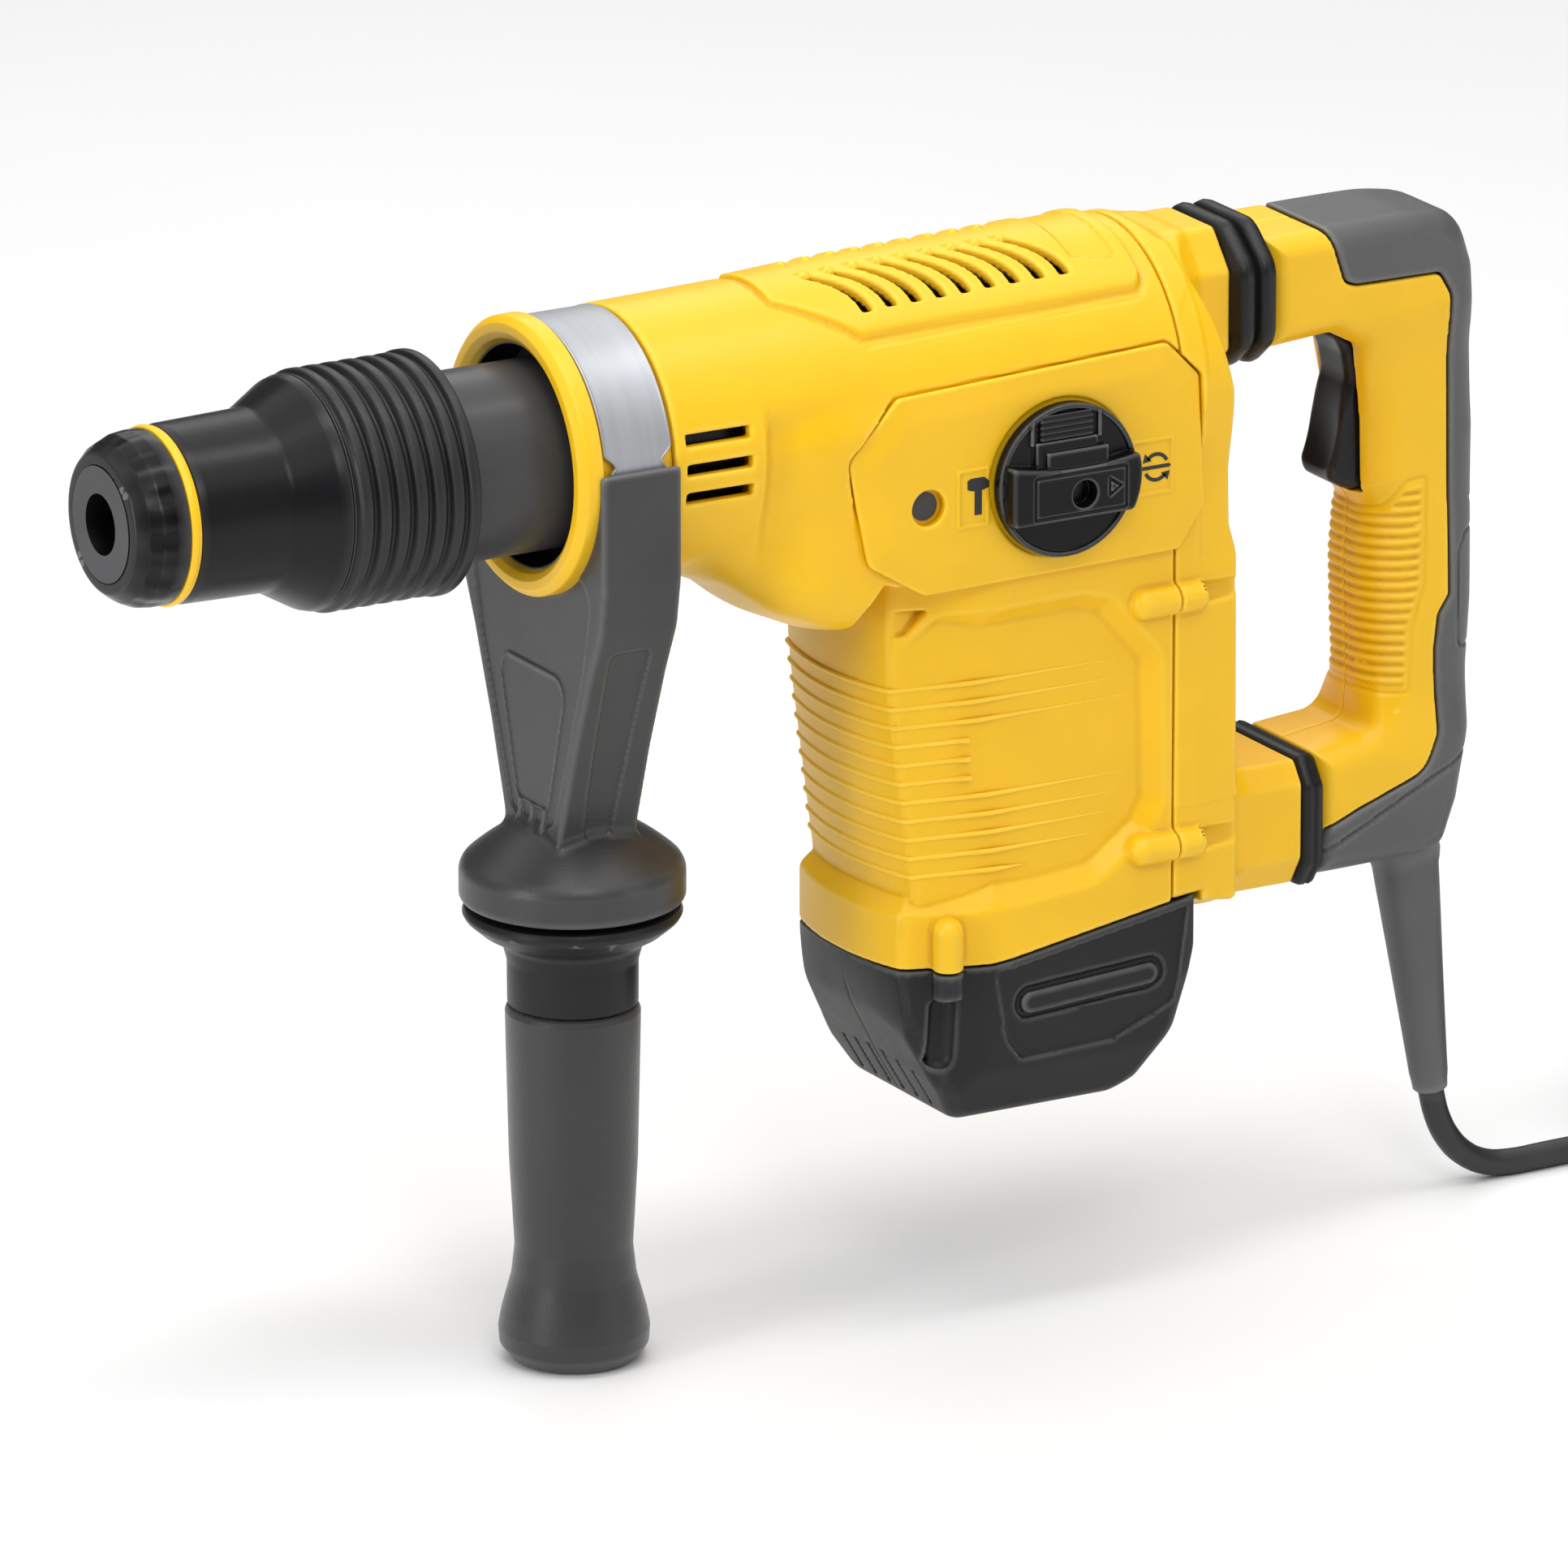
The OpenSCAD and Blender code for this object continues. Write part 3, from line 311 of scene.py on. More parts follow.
def lathe(name, profile, surface, axis="x", centre=(0, 0, 0), segments=144, ripple=None, smooth_angle=35):
    """Turns an (along, radius) profile round an axis; ripple(along, radius, angle) adds to it."""
    angles = np.linspace(0, 2 * math.pi, segments, endpoint=False)
    points, rings = [], []
    for along, radius in profile:
        rings.append(len(points))
        if radius < 1e-6:
            points.append((along, 0, 0))
            continue
        for angle in angles:
            r = radius + (ripple(along, radius, angle) if ripple else 0)
            points.append((along, r * math.cos(angle), r * math.sin(angle)))
    faces = []
    for k in range(len(profile) - 1):
        a, b = rings[k], rings[k + 1]
        a_pole, b_pole = profile[k][1] < 1e-6, profile[k + 1][1] < 1e-6
        for i in range(segments):
            j = (i + 1) % segments
            if a_pole and not b_pole:
                faces.append((a, b + i, b + j))
            elif b_pole and not a_pole:
                faces.append((a + j, a + i, b))
            elif not a_pole:
                faces.append((a + j, a + i, b + i, b + j))
    if axis == "x":
        faces = [face[::-1] for face in faces]
    else:
        points = [(v, u, along) for along, u, v in points]
    placed = [tuple(a + b for a, b in zip(point, centre)) for point in points]
    return add_mesh(name, placed, faces, surface, smooth_angle=smooth_angle)


def closed_profile(corners, steps=5):
    """A turned ring's closed section, with its first point repeated at the end."""
    points = soften(corners, True, steps)
    return points + [points[0]]


# Solids are described by signed distances (negative inside) and meshed on a grid.


def polygon(outline, u, v):
    """Signed distance from a closed outline, for plane coordinates u and v."""
    corners = np.array(outline, np.float32)
    following = np.roll(corners, -1, axis=0)
    nearest = None
    inside = None
    for (ax, ay), (bx, by) in zip(corners, following):
        ex, ey = bx - ax, by - ay
        length = ex * ex + ey * ey
        if length < 1e-9:
            continue
        t = np.clip(((u - ax) * ex + (v - ay) * ey) / length, 0, 1)
        gap = (u - ax - ex * t) ** 2 + (v - ay - ey * t) ** 2
        nearest = gap if nearest is None else np.minimum(nearest, gap)
        if ay != by:
            crossed = ((ay > v) != (by > v)) & (u < ex * (v - ay) / ey + ax)
            inside = crossed if inside is None else inside ^ crossed
    return np.where(inside, -1, 1) * np.sqrt(nearest)


def slab(u, low, high):
    return np.maximum(low - u, u - high)


def join(a, b, r=0):
    """Union, with a fillet of radius r."""
    if np.all(r <= 0):
        return np.minimum(a, b)
    u, v = np.maximum(r - a, 0), np.maximum(r - b, 0)
    return np.maximum(r, np.minimum(a, b)) - np.sqrt(u * u + v * v)


def meet(a, b, r=0):
    """Intersection, with its edge rounded to radius r."""
    return -join(-a, -b, r)


def overlap(*parts):
    """Intersection of any number of shapes, with sharp edges."""
    return functools.reduce(np.maximum, parts)


def span(*gaps):
    """Length of the line with these components."""
    return np.sqrt(sum(gap * gap for gap in gaps))


def carve(a, b, r=0):
    """a with b cut out, its edge rounded to radius r."""
    return meet(a, -b, r)


def ramp(u, start, stop):
    """Smooth step from 0 at start to 1 at stop."""
    t = np.clip((u - start) / (stop - start), 0, 1)
    return t * t * (3 - 2 * t)


def sample(values, at):
    """Reads a grid at fractional positions."""
    limit = np.array(values.shape) - 2
    cell = np.clip(np.floor(at).astype(np.int32), 0, limit)
    f = at - cell
    total = 0
    for corner in np.ndindex(2, 2, 2):
        weight = np.prod([f[:, k] if corner[k] else 1 - f[:, k] for k in range(3)], axis=0)
        total = total + weight * values[tuple((cell + corner).T)]
    return total


def solid(name, field, low, high, step, surface):
    """Meshes the zero surface of field(x, y, z) inside a box, one vertex per crossed cell."""
    step = np.array(step if hasattr(step, "__len__") else (step,) * 3, float)
    low = np.array(low, float) - 1.6 * step
    high = np.array(high, float) + 1.6 * step
    axes = [np.arange(low[k], high[k] + step[k], step[k], dtype=np.float32) for k in range(3)]
    shape = tuple(len(a) for a in axes)
    values = np.broadcast_to(field(axes[0][:, None, None], axes[1][None, :, None], axes[2][None, None, :]),
        shape).astype(np.float32)
    inside = values < 0
    total = np.zeros(tuple(n - 1 for n in shape), np.uint8)
    for i, j, k in np.ndindex(2, 2, 2):
        total += inside[i:shape[0] - 1 + i, j:shape[1] - 1 + j, k:shape[2] - 1 + k]
    mixed = (total > 0) & (total < 8)
    cells = np.argwhere(mixed)
    number = np.full(mixed.shape, -1, np.int32)
    number[mixed] = np.arange(len(cells))
    crossings = np.zeros((len(cells), 3))
    hits = np.zeros(len(cells))
    for corner in np.ndindex(2, 2, 2):
        near = values[tuple((cells + corner).T)]
        for axis in range(3):
            if corner[axis]:
                continue
            other = np.array(corner)
            other[axis] = 1
            far = values[tuple((cells + other).T)]
            crossed = (near < 0) != (far < 0)
            t = np.where(crossed, near / np.where(crossed, near - far, 1), 0)
            crossings += crossed[:, None] * np.array(corner, float)
            crossings[:, axis] += crossed * t
            hits += crossed
    at = cells + crossings / hits[:, None]

    def slope(spots):
        sides = []
        for axis in range(3):
            shift = np.zeros(3)
            shift[axis] = 0.5
            sides.append((sample(values, spots + shift) - sample(values, spots - shift)) / step[axis])
        grown = np.stack(sides, axis=1)
        return grown / np.maximum(np.linalg.norm(grown, axis=1, keepdims=True), 1e-6)

    for _ in range(2):
        miss = np.clip(sample(values, at), -0.3 * step.min(), 0.3 * step.min())
        at = at - slope(at) * miss[:, None] / step
    quads = []
    for axis in range(3):
        u, v = [k for k in range(3) if k != axis]
        first = [slice(None)] * 3
        second = [slice(None)] * 3
        first[axis] = slice(0, shape[axis] - 1)
        second[axis] = slice(1, shape[axis])
        change = inside[tuple(first)] != inside[tuple(second)]
        for k in (u, v):
            edge = [slice(None)] * 3
            edge[k] = 0
            change[tuple(edge)] = False
            edge[k] = -1
            change[tuple(edge)] = False
        spots = np.argwhere(change)
        starts_inside = inside[tuple(spots.T)]
        loop = []
        for du, dv in ((1, 1), (0, 1), (0, 0), (1, 0)):
            cell = spots.copy()
            cell[:, u] -= du
            cell[:, v] -= dv
            loop.append(number[tuple(cell.T)])
        quad = np.stack(loop, axis=1)
        flip = starts_inside == (axis == 1)
        quad[flip] = quad[flip][:, ::-1]
        quads.append(quad)
    return add_mesh(name, low + at * step, np.concatenate(quads), surface, normals=slope(at))


def place(piece, body, slot, *nodes):
    """Puts a finished piece on its CAD body and hides the nodes it stands for; slot is not used."""
    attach(piece, body)
    if nodes:
        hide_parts(*nodes)
    return piece


# ---------------------------------------------------------------- mains cord

CORD_D = 8
COIL_X, COIL_Y = 594, 5
COIL_COLUMNS = (63, 55, 47)
COIL_LEVELS = (-274, -266, -258, -250)
TURN_COUNT = 11
PLUG_X = COIL_X + 54
PLUG_Z = -234
PLUG_TAIL_Y = COIL_Y - 22
# the free stretch from the guard's end to the coil, as in the CAD model
CORD_ROUTE = [(449.6, 0, -245.5), (452, 0, -254.5), (456, 0, -262.3), (462, 0, -268.6), (469.6, 0, -272.6),
    (478, 0, -274), (490, 0, -274), (502, 0, -274), (512, -2, -274), (521, -6.6, -274), (528, -13, -274),
    (532.4, -19.6, -274), (535.6, -28.6, -274)]


def on_coil(radius, angle, level):
    """A point of the wound cord."""
    return COIL_X + radius * math.cos(angle), COIL_Y + radius * math.sin(angle), level


def coil_points():
    """Eleven neat turns, column by column in four levels, then a rise over the top to the plug."""
    turns = []
    for n, z in enumerate(COIL_LEVELS):
        columns = COIL_COLUMNS if n % 2 == 0 else COIL_COLUMNS[::-1]
        turns += [(r, z) for r in columns]
    turns = turns[:TURN_COUNT] + [turns[TURN_COUNT - 1]]
    start = math.radians(-150)
    per_turn = 24
    points = []
    for k in range(2, TURN_COUNT * per_turn):
        turn, part = divmod(k, per_turn)
        (r0, z0), (r1, z1) = turns[turn], turns[turn + 1]
        share = part / per_turn
        radius = r0 + (r1 - r0) * float(ramp(share, 0.55, 0.75)) + 4.4 * float(ramp(k, 10, 0))
        level = z0 + (z1 - z0) * float(ramp(share, 0.8, 1))
        angle = start + 2 * math.pi * share
        points.append(on_coil(radius, angle, level))
    r_top, z_top = turns[-1]
    for k in range(8):
        share = k / 8
        angle = start + math.radians(122) * share
        level = z_top + (PLUG_Z - z_top) * float(ramp(share, 0.1, 0.95))
        radius = r_top + 0.6 * share
        points.append(on_coil(radius, angle, level))
    points.append((PLUG_X - 0.6, PLUG_TAIL_Y - 3, PLUG_Z))
    points.append((PLUG_X, PLUG_TAIL_Y + 4, PLUG_Z))
    return points


def cord_curve(name, points, diameter, surface):
    """A round lead along smooth points in millimetres."""
    data = bpy.data.curves.new(name, "CURVE")
    data.dimensions = "3D"
    spline = data.splines.new("BEZIER")
    spline.bezier_points.add(len(points) - 1)
    for point, spot in zip(spline.bezier_points, points):
        point.co = Vector(spot) * MM
        point.handle_left_type = point.handle_right_type = "AUTO"
    spline.resolution_u = 4
    data.bevel_depth = diameter * 0.5 * MM
    data.bevel_resolution = 5
    data.use_fill_caps = True
    data.materials.append(surface)
    return add_object(name, data)


def plug_shell(x, y, z):
    """Oblong plug body with grip grooves and a ribbed tail."""
    u, v, along = x - PLUG_X, z - PLUG_Z, y - COIL_Y
    body_r = span(u - np.clip(u, -6.5, 6.5), v)
    waist = 1.5 * (1 - ramp(abs(along - 14), 3, 13))
    body = meet(body_r - 11.4 + waist, slab(along, 0.5, 36), 2)
    grooves = (np.mod(along, 3.4) - 1.7) ** 2 * 0.5 - 0.5
    sides = overlap(slab(along, 6, 24), 9 - abs(u))
    body = carve(body, overlap(grooves, sides, 10 - body_r), 0.3)
    axial = span(u, v)
    tail = axial - (5.2 + 2.9 * ramp(along, -22, 2)) + 0.5 * (np.cos(along * 2 * math.pi / 3.6) > 0.2)
    tail = meet(tail, slab(along, -21.8, 6), 0.5)
    return join(body, tail, 2.5)


cord = cord_curve("mains_cord", CORD_ROUTE + coil_points(), CORD_D, BLACK_RUBBER)
plug = place(solid("mains_plug", plug_shell, (PLUG_X - 19, COIL_Y - 22, PLUG_Z - 12),
    (PLUG_X + 19, COIL_Y + 36.5, PLUG_Z + 12), 0.6, BLACK_RUBBER), "rear_handle", "black_rubber",
    "plug_body")
place(cord, "rear_handle", "black_rubber", "power_cord", "cord_coil")
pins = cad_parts["plug_pins"]
pins.data.materials.clear()
pins.data.materials.append(BRASS)


def coil_tie(x, y, z):
    """A soft strap round the bundle of turns."""
    across = span(x - COIL_X, y - COIL_Y) - 55
    bundle = meet(abs(across) - 12.6, slab(z, -277.9, -245.6), 4)
    strap = overlap(abs(bundle) - 0.55, abs(x - COIL_X + 12) - 6)
    return overlap(strap, COIL_Y + 20 - y)


place(solid("coil_tie", coil_tie, (COIL_X - 19, COIL_Y + 36, -279), (COIL_X - 5, COIL_Y + 70, -244.5), 0.5,
    CHARCOAL), "rear_handle", "charcoal_plastic")

# ---------------------------------------------------------------- front: tool holder and sleeve


def soft_facets(along, radius, angle):
    """Twelve shallow flats round the cap's shoulder."""
    if radius < 19:
        return 0
    depth = 0.55 * float(ramp(along, 2, 6)) * (1 - float(ramp(along, 11, 14.5)))
    return -depth * (0.5 + 0.5 * math.cos(12 * angle)) ** 2


cap_profile = closed_profile([(1.6, 9.6, 0.3), (1.6, 12.6, 0.3), (0.9, 13, 0.3), (0.9, 16.4, 0.4),
    (0.2, 17.4, 0.5), (0.3, 20.4, 1.5), (3.8, 23.4, 3.5), (7.6, 25.1, 4), (11.6, 25.6, 2),
    (15.8, 25.6, 0.5), (15.8, 17.1, 0.2), (4.4, 17.1, 0.2), (4.4, 9.6, 0.2)])
place(lathe("dust_cap_skin", cap_profile, BLACK_GLOSS, ripple=soft_facets, segments=192), "tool_holder",
    "black_rubber", "dust_cap")
place(lathe("marking_ring_skin", closed_profile([(16, 17.1), (16, 26, 0.4), (17.5, 26.4, 0.5),
    (19, 26, 0.4), (19, 17.1)]), YELLOW), "tool_holder", "yellow_plastic", "marking_ring")
place(lathe("locking_sleeve_skin", closed_profile([(19.4, 17.2), (19.4, 25.7, 0.6), (22, 26.2, 1),
    (48.5, 26.8, 5), (60.5, 33.7, 5), (63.6, 34.6, 1), (63.8, 33.4, 0.3), (99, 33.2, 0.3),
    (100.3, 31.6, 0.8), (100.3, 28.7, 0.2), (72, 28.7, 0.2), (70, 24, 0.2), (66, 17.2, 0.2)]), BLACK),
    "locking_sleeve", "charcoal_plastic", "locking_sleeve")

RIB_COUNT, CREST_R = 6, 35.5
GRIP_START, RIB_STOP, GRIP_STOP = 63.9, 101, 105.2
rib_pitch = (RIB_STOP - GRIP_START - 1.4) / RIB_COUNT
grip_corners = [(GRIP_START, 33.4, 0.1), (GRIP_START, 34.8, 0.5)]
for rib in range(RIB_COUNT):
    base = GRIP_START + 1 + rib * rib_pitch
    grip_corners += [(base + 0.4, CREST_R - 1.9, 0.7), (base + 1.7, CREST_R, 1.2),
        (base + rib_pitch - 1.7, CREST_R, 1.2), (base + rib_pitch - 0.4, CREST_R - 1.9, 0.7)]
grip_corners += [(101.4, 36, 0.9), (GRIP_STOP - 1.2, 36, 1.2), (GRIP_STOP, 34, 0.8), (GRIP_STOP, 31.8, 0.1),
    (99.6, 31.8, 0.1), (99.6, 33.4, 0.1)]
place(lathe("sleeve_grip_skin", closed_profile(grip_corners), BLACK_RUBBER), "locking_sleeve",
    "black_rubber", "sleeve_grip")

# ---------------------------------------------------------------- collar, clamp band and side handle

place(lathe("front_collar_skin", closed_profile([(165, 33, 0.5), (137.6, 33, 1.2), (135.4, 34.4, 0.8),
    (134, 36.4, 0.8), (134, 39, 0.8), (136.2, 41.2, 1.6), (141.4, 41.3, 0.5), (141.6, 38.2, 0.3),
    (165.6, 38.2, 0.3)]), YELLOW), "root", "yellow_plastic", "front_collar")

place(lathe("collar_liner", closed_profile([(137.2, 33.3), (137.2, 32.5, 0.4), (149, 32.2, 0.2),
    (149, 28.3), (151, 28.3), (151, 33.3)]), BLACK), "root", "black_plastic")

BAND_R = 40.1
SIDE_X = 153.5


def band_half_width(z):
    """Full width over the top, stepping in just above the yoke's arms."""
    return 11.2 - 3.4 * (1 - float(ramp(z, 5, 9.5))) + 1.2 * (1 - float(ramp(z, 3.4, 5)))


def clamp_band():
    """Flat steel strap over the barrel, with a fine bead along both edges."""
    lip, thick, steps = 0.45, 1.7, 220
    points = []
    for i in range(steps + 1):
        angle = math.radians(-96 + 192 * i / steps)
        half = band_half_width(BAND_R * math.cos(angle))
        inner = BAND_R - thick
        section = soften([(-half, inner, 0.2), (-half, BAND_R, 0.35), (-half + lip, BAND_R + 0.25, 0.3),
            (-half + 2 * lip, BAND_R, 0.3), (half - 2 * lip, BAND_R, 0.3), (half - lip, BAND_R + 0.25, 0.3),
            (half, BAND_R, 0.35), (half, inner, 0.2)], True, 3)
        points += [(SIDE_X + along, radius * math.sin(angle),
            radius * math.cos(angle)) for along, radius in section]
    faces = swept_faces(steps + 1, len(section), caps=True, flip=True)
    return add_mesh("clamp_band_skin", points, faces, BAND_STEEL, smooth_angle=40)


place(clamp_band(), "side_handle", "band_steel", "clamp_band")

YOKE_FRONT, YOKE_BACK = 139.9, 166.1
YOKE_SEAT_R = 40.45
yoke_outline = soften([(-3, 3.5), (43, 3.5, 1.2), (43, -30, 30), (40.5, -45, 20), (34, -60, 40),
    (24.5, -86, 60), (16.2, -113, 30), (15.6, -128), (-3, -128)])
inset_outline = soften([(-3, -64), (16.5, -64, 5), (18.6, -70, 6), (9, -106, 3), (-3, -106)])


def side_yoke(x, y, z):
    """Forked arms that hang from the clamp band, ending in a domed flange."""
    w = abs(y)
    radial = span(y, z)
    face = polygon(yoke_outline, w, z)
    arms = meet(face, slab(x, YOKE_FRONT, YOKE_BACK), 1.3)
    # edge strip on the flank, standing a little proud of the inner web
    web = polygon(soften([(-3, -30), (36, -30, 8), (30, -58, 30), (12, -110, 5), (-3, -112)]), w, z)
    arms = carve(arms, overlap(web, slab(x, YOKE_FRONT - 5, YOKE_FRONT + 0.7)), 0.5)
    inset = polygon(inset_outline, w, z)
    arms = join(arms, overlap(abs(inset) - 0.5, slab(x, YOKE_FRONT + 0.3, YOKE_FRONT + 1.2)), 0.3)
    # long flat channel down each flank
    flank = polygon(soften([(146, -52, 2), (158.5, -52, 2), (156.5, -118, 2), (148.5, -118, 2)]), x, z)
    arms = carve(arms, overlap(flank, -face - 0.8), 0.6)
    arms = meet(arms, YOKE_SEAT_R - radial, 0.8)
    axial = span(x - SIDE_X, y)
    # domed top flange
    dome = -109.6 - 0.0142 * axial * axial
    flange = meet(axial - 33.2, overlap((z - dome) * 0.85, -136.4 - z), 2)
    shape = join(arms, flange, 2.5)
    # small curved fins at the foot of the front face
    for k in (-1, 0, 1):
        lean = 0.1 * (z + 108)
        blade = abs(y - 7 * k - lean * k) - 0.95
        reach = (z + 106) / 22
        height = YOKE_FRONT - 12.5 * np.clip(-reach, 0, 1) ** 1.8
        blade = overlap(blade, height - x, slab(z, -129, -106))
        shape = join(shape, overlap(blade, x - YOKE_FRONT - 3), 0.7)
    return shape


place(solid("side_yoke_skin", side_yoke, (119.5, -43.2, -137), (187.5, 43.2, 4), 0.85, YOKE_GREY),
    "side_handle", "charcoal_plastic", "handle_yoke")

place(lathe("side_grip_core_skin", closed_profile([(-138.4, 6), (-138.4, 31.6, 0.5), (-140.2, 32.4, 1.2),
    (-142, 31.4, 1.6), (-145.8, 27, 4), (-149.4, 20.8, 4), (-155, 19.3, 4), (-168.2, 19.2, 0.8),
    (-168.2, 17.4, 0.2), (-172, 17.4, 0.2), (-172, 6)]), CHARCOAL, axis="z", centre=(SIDE_X, 0, 0)),
    "side_grip", "charcoal_plastic", "side_grip_core")
place(lathe("side_grip_sleeve_skin", soften([(-169, 12), (-169, 19.2, 0.8), (-170.6, 19.9, 1),
    (-181, 19.7, 30), (-216, 18.9, 60), (-243, 17.4, 16), (-252, 18.4, 10), (-263, 21.4, 8),
    (-268, 22.3, 3), (-273, 22, 3), (-278, 17.6, 3.2), (-278, 0)], False, 8), GRIP_RUBBER, axis="z",
    centre=(SIDE_X, 0, 0)), "side_grip", "grey_rubber", "side_grip_sleeve")

# ---------------------------------------------------------------- barrel housing

BARREL_X, SEAM_X = 165.8, 333.9
BARREL_R, BARREL_REAR_R = 40.5, 44
SIDE_W = 40
PARTING_Z = -45.5


def barrel_radius(x):
    return BARREL_R + (x - BARREL_X) * (BARREL_REAR_R - BARREL_R) / (SEAM_X - BARREL_X)


belly_side = soften([(176, 0), (181, -34, 6), (189, -42, 10), (205, -55, 24), (222, -62.6, 20), (262, -65),
    (334.5, -65), (334.5, 0)])
belly_plan = soften([(170, -9), (172, 16, 8), (188, 30, 20), (214, 39.7, 26), (340, 39.7), (340, -9)])
barrel_region = soften([(120, 80), (400, 80), (400, PARTING_Z), (240, PARTING_Z), (235.6, -44),
    (229.2, -51.8, 3), (226.4, -60, 2), (231, -64.6), (231, -90), (120, -90)])
hump_plan = soften([(211, -2), (211, 15, 3), (233.5, 30.5, 4), (327.5, 31.5, 4), (327.5, -2)])
SLOT_PITCH = 8.28
SLOT_FIRST = 227


def slot_bow(w):
    """How far back each air slot has bent at a given width."""
    return 11 * np.sin(0.5 * math.pi * np.clip((w - 7) / 18, 0, 1))


def hump_crown(x, y, z):
    """Distance outside the hump's crown, which is a little flatter than the barrel."""
    return span(y, z - 1.4) - (barrel_radius(x) + 0.5 - 0.8 * ramp(x, 245, 211))


def barrel(x, y, z):
    w = abs(y)
    radial = span(y, z)
    dip = 3.2 * ramp(x, 194.5, 198) * (1 - ramp(x, 204, 226)) * ramp(-z, -18, -2)
    tube = meet(radial - barrel_radius(x) + dip, slab(x, BARREL_X, SEAM_X), 1)
    belly = meet(polygon(belly_side, x, z - 6.5 * (w / 36) ** 2), polygon(belly_plan, x, w), 8)
    shape = join(tube, belly, 7)
    # hump: a raised pad over the top
    crown = hump_crown(x, y, z)
    plan = polygon(hump_plan, x, w)
    shape = join(shape, meet(overlap(crown, 10 - z), plan, 0.6), 0.2)
    moat = overlap(abs(plan - 0.8) - 0.8, -(radial - barrel_radius(x)) - 0.5)
    shape = carve(shape, overlap(moat, 10 - z), 0.3)
    # bowed air slots on both sides of the hump's spine
    bow = slot_bow(w)
    across = np.mod(x - SLOT_FIRST - bow + 0.5 * SLOT_PITCH, SLOT_PITCH) - 0.5 * SLOT_PITCH
    slot_rows = slab(x - bow, SLOT_FIRST - 4, SLOT_FIRST + 8.5 * SLOT_PITCH)
    slots = overlap(abs(across) * 0.85 - 1.45, slab(w, 4.5, 25.2), slot_rows, 28 - z)
    shape = carve(shape, slots, 0.8)
    beads = span(across, w - 6.4, crown + 0.8) - 1.8
    shape = join(shape, overlap(beads, slot_rows), 0.5)
    cavity = overlap(crown + 3.2, slab(x, 222, 316), w - 27.5, 20 - z)
    shape = overlap(shape, -cavity)
    # shallow tray at the hump's rear end
    tray = polygon(soften([(309, -3), (309, 21, 2), (323, 24, 2), (323, -3)]), x, w)
    shape = carve(shape, overlap(tray, -crown - 0.7, 10 - z), 0.4)
    # three air slots low on each side at the front
    for level in (9.2, 0.6, -8):
        slot = overlap(slab(x, 169.6, 191 - 0.05 * level), abs(z - level) - 1.75)
        shape = carve(shape, overlap(slot, 30 - w), 0.6)
    front_cavity = overlap(radial - 37, 31 - radial, slab(x, 168.5, 193), abs(z) - 13)
    shape = overlap(shape, -front_cavity)
    # seat of the cover plate
    seat = overlap(polygon(plate_gap, x, z), SIDE_W - 0.4 - w)
    shape = overlap(shape, -seat)
    return meet(shape, polygon(barrel_region, x, z), 0.7)


plate_corners = [(238.7, 12.3, 3), (329.5, 16.1, 3), (340.4, 5.1, 3), (342.5, -35, 3), (334, -47.3, 3),
    (247.7, -48.5, 5), (229, -37, 5), (222, -4.6, 5)]
plate_edge = soften(plate_corners)
plate_centre = (285, -17)
plate_gap = [(plate_centre[0] + (u - plate_centre[0]) * 1.008,
    plate_centre[1] + (v - plate_centre[1]) * 1.016) for u, v in plate_edge]
place(solid("barrel_skin", barrel, (164, -45, -66), (335, 45, 48.5), 0.9, YELLOW), "root", "yellow_plastic",
    "barrel_housing")


# Black sheets under the hump's air slots and behind the low front slots: painted shade for the dark inside
# of the housing.
def vent_shade_liner(x, y, z):
    w = abs(y)
    crown = hump_crown(x, y, z) + 5.6
    top = overlap(abs(crown) - 0.8, slab(x, 223, 315), w - 27, 20.4 - z)
    radial = span(y, z)
    ring = overlap(abs(radial - 32.6) - 0.9, slab(x, 169, 192.5), abs(z) - 12.5)
    return np.minimum(top, ring)


place(solid("vent_shade_liner", vent_shade_liner, (168, -34, -14), (312, 34, 42), 1.1, BLACK), "root", "black_plastic")

# ---------------------------------------------------------------- side cover plates

KNOB_X, KNOB_Z = 292.8, -18.7
WELL_X, WELL_Z = 248.4, -21.8
PLATE_Y = 43


def cover_plate(x, y, z, knob_side):
    w = -y if knob_side else y
    edge = polygon(plate_edge, x, z)
    # the plate is gently crowned towards its middle
    face = w - (PLATE_Y - 0.9 + 0.9 * ramp(-edge, 0, 9))
    shape = meet(edge, overlap(face, SIDE_W - w), 0.7)
    hole = span(x - WELL_X, z - WELL_Z) - 5.5
    shape = carve(shape, hole, 0.7)
    if knob_side:
        ring = span(x - KNOB_X, z - KNOB_Z)
        shape = carve(shape, meet(ring - 24, PLATE_Y - 0.7 - w, 0.2), 0.5)
        for low, high in (((258.2, -29.2), (268, -12.4)), ((314, -28.4), (330.6, -12.2))):
            middle_x, middle_z = (low[0] + high[0]) / 2, (low[1] + high[1]) / 2
            tab = overlap(abs(x - middle_x) - (high[0] - low[0]) / 2,
                abs(z - middle_z) - (high[1] - low[1]) / 2)
            frame_line = overlap(abs(tab) - 0.35, w - PLATE_Y - 0.35, 25 - ring)
            shape = join(shape, overlap(frame_line, SIDE_W - w), 0.3)
    return shape


for knob_side, name in ((True, "side_plate_left"), (False, "side_plate_right")):
    sign = -1 if knob_side else 1
    low_y, high_y = sorted((sign * (SIDE_W - 0.2), sign * (PLATE_Y + 0.5)))
    place(solid(name + "_skin", lambda x, y, z, k=knob_side: cover_plate(x, y, z, k), (221, low_y, -49),
        (343, high_y, 17), (0.7, 0.45, 0.7), YELLOW), "root", "yellow_plastic", name)


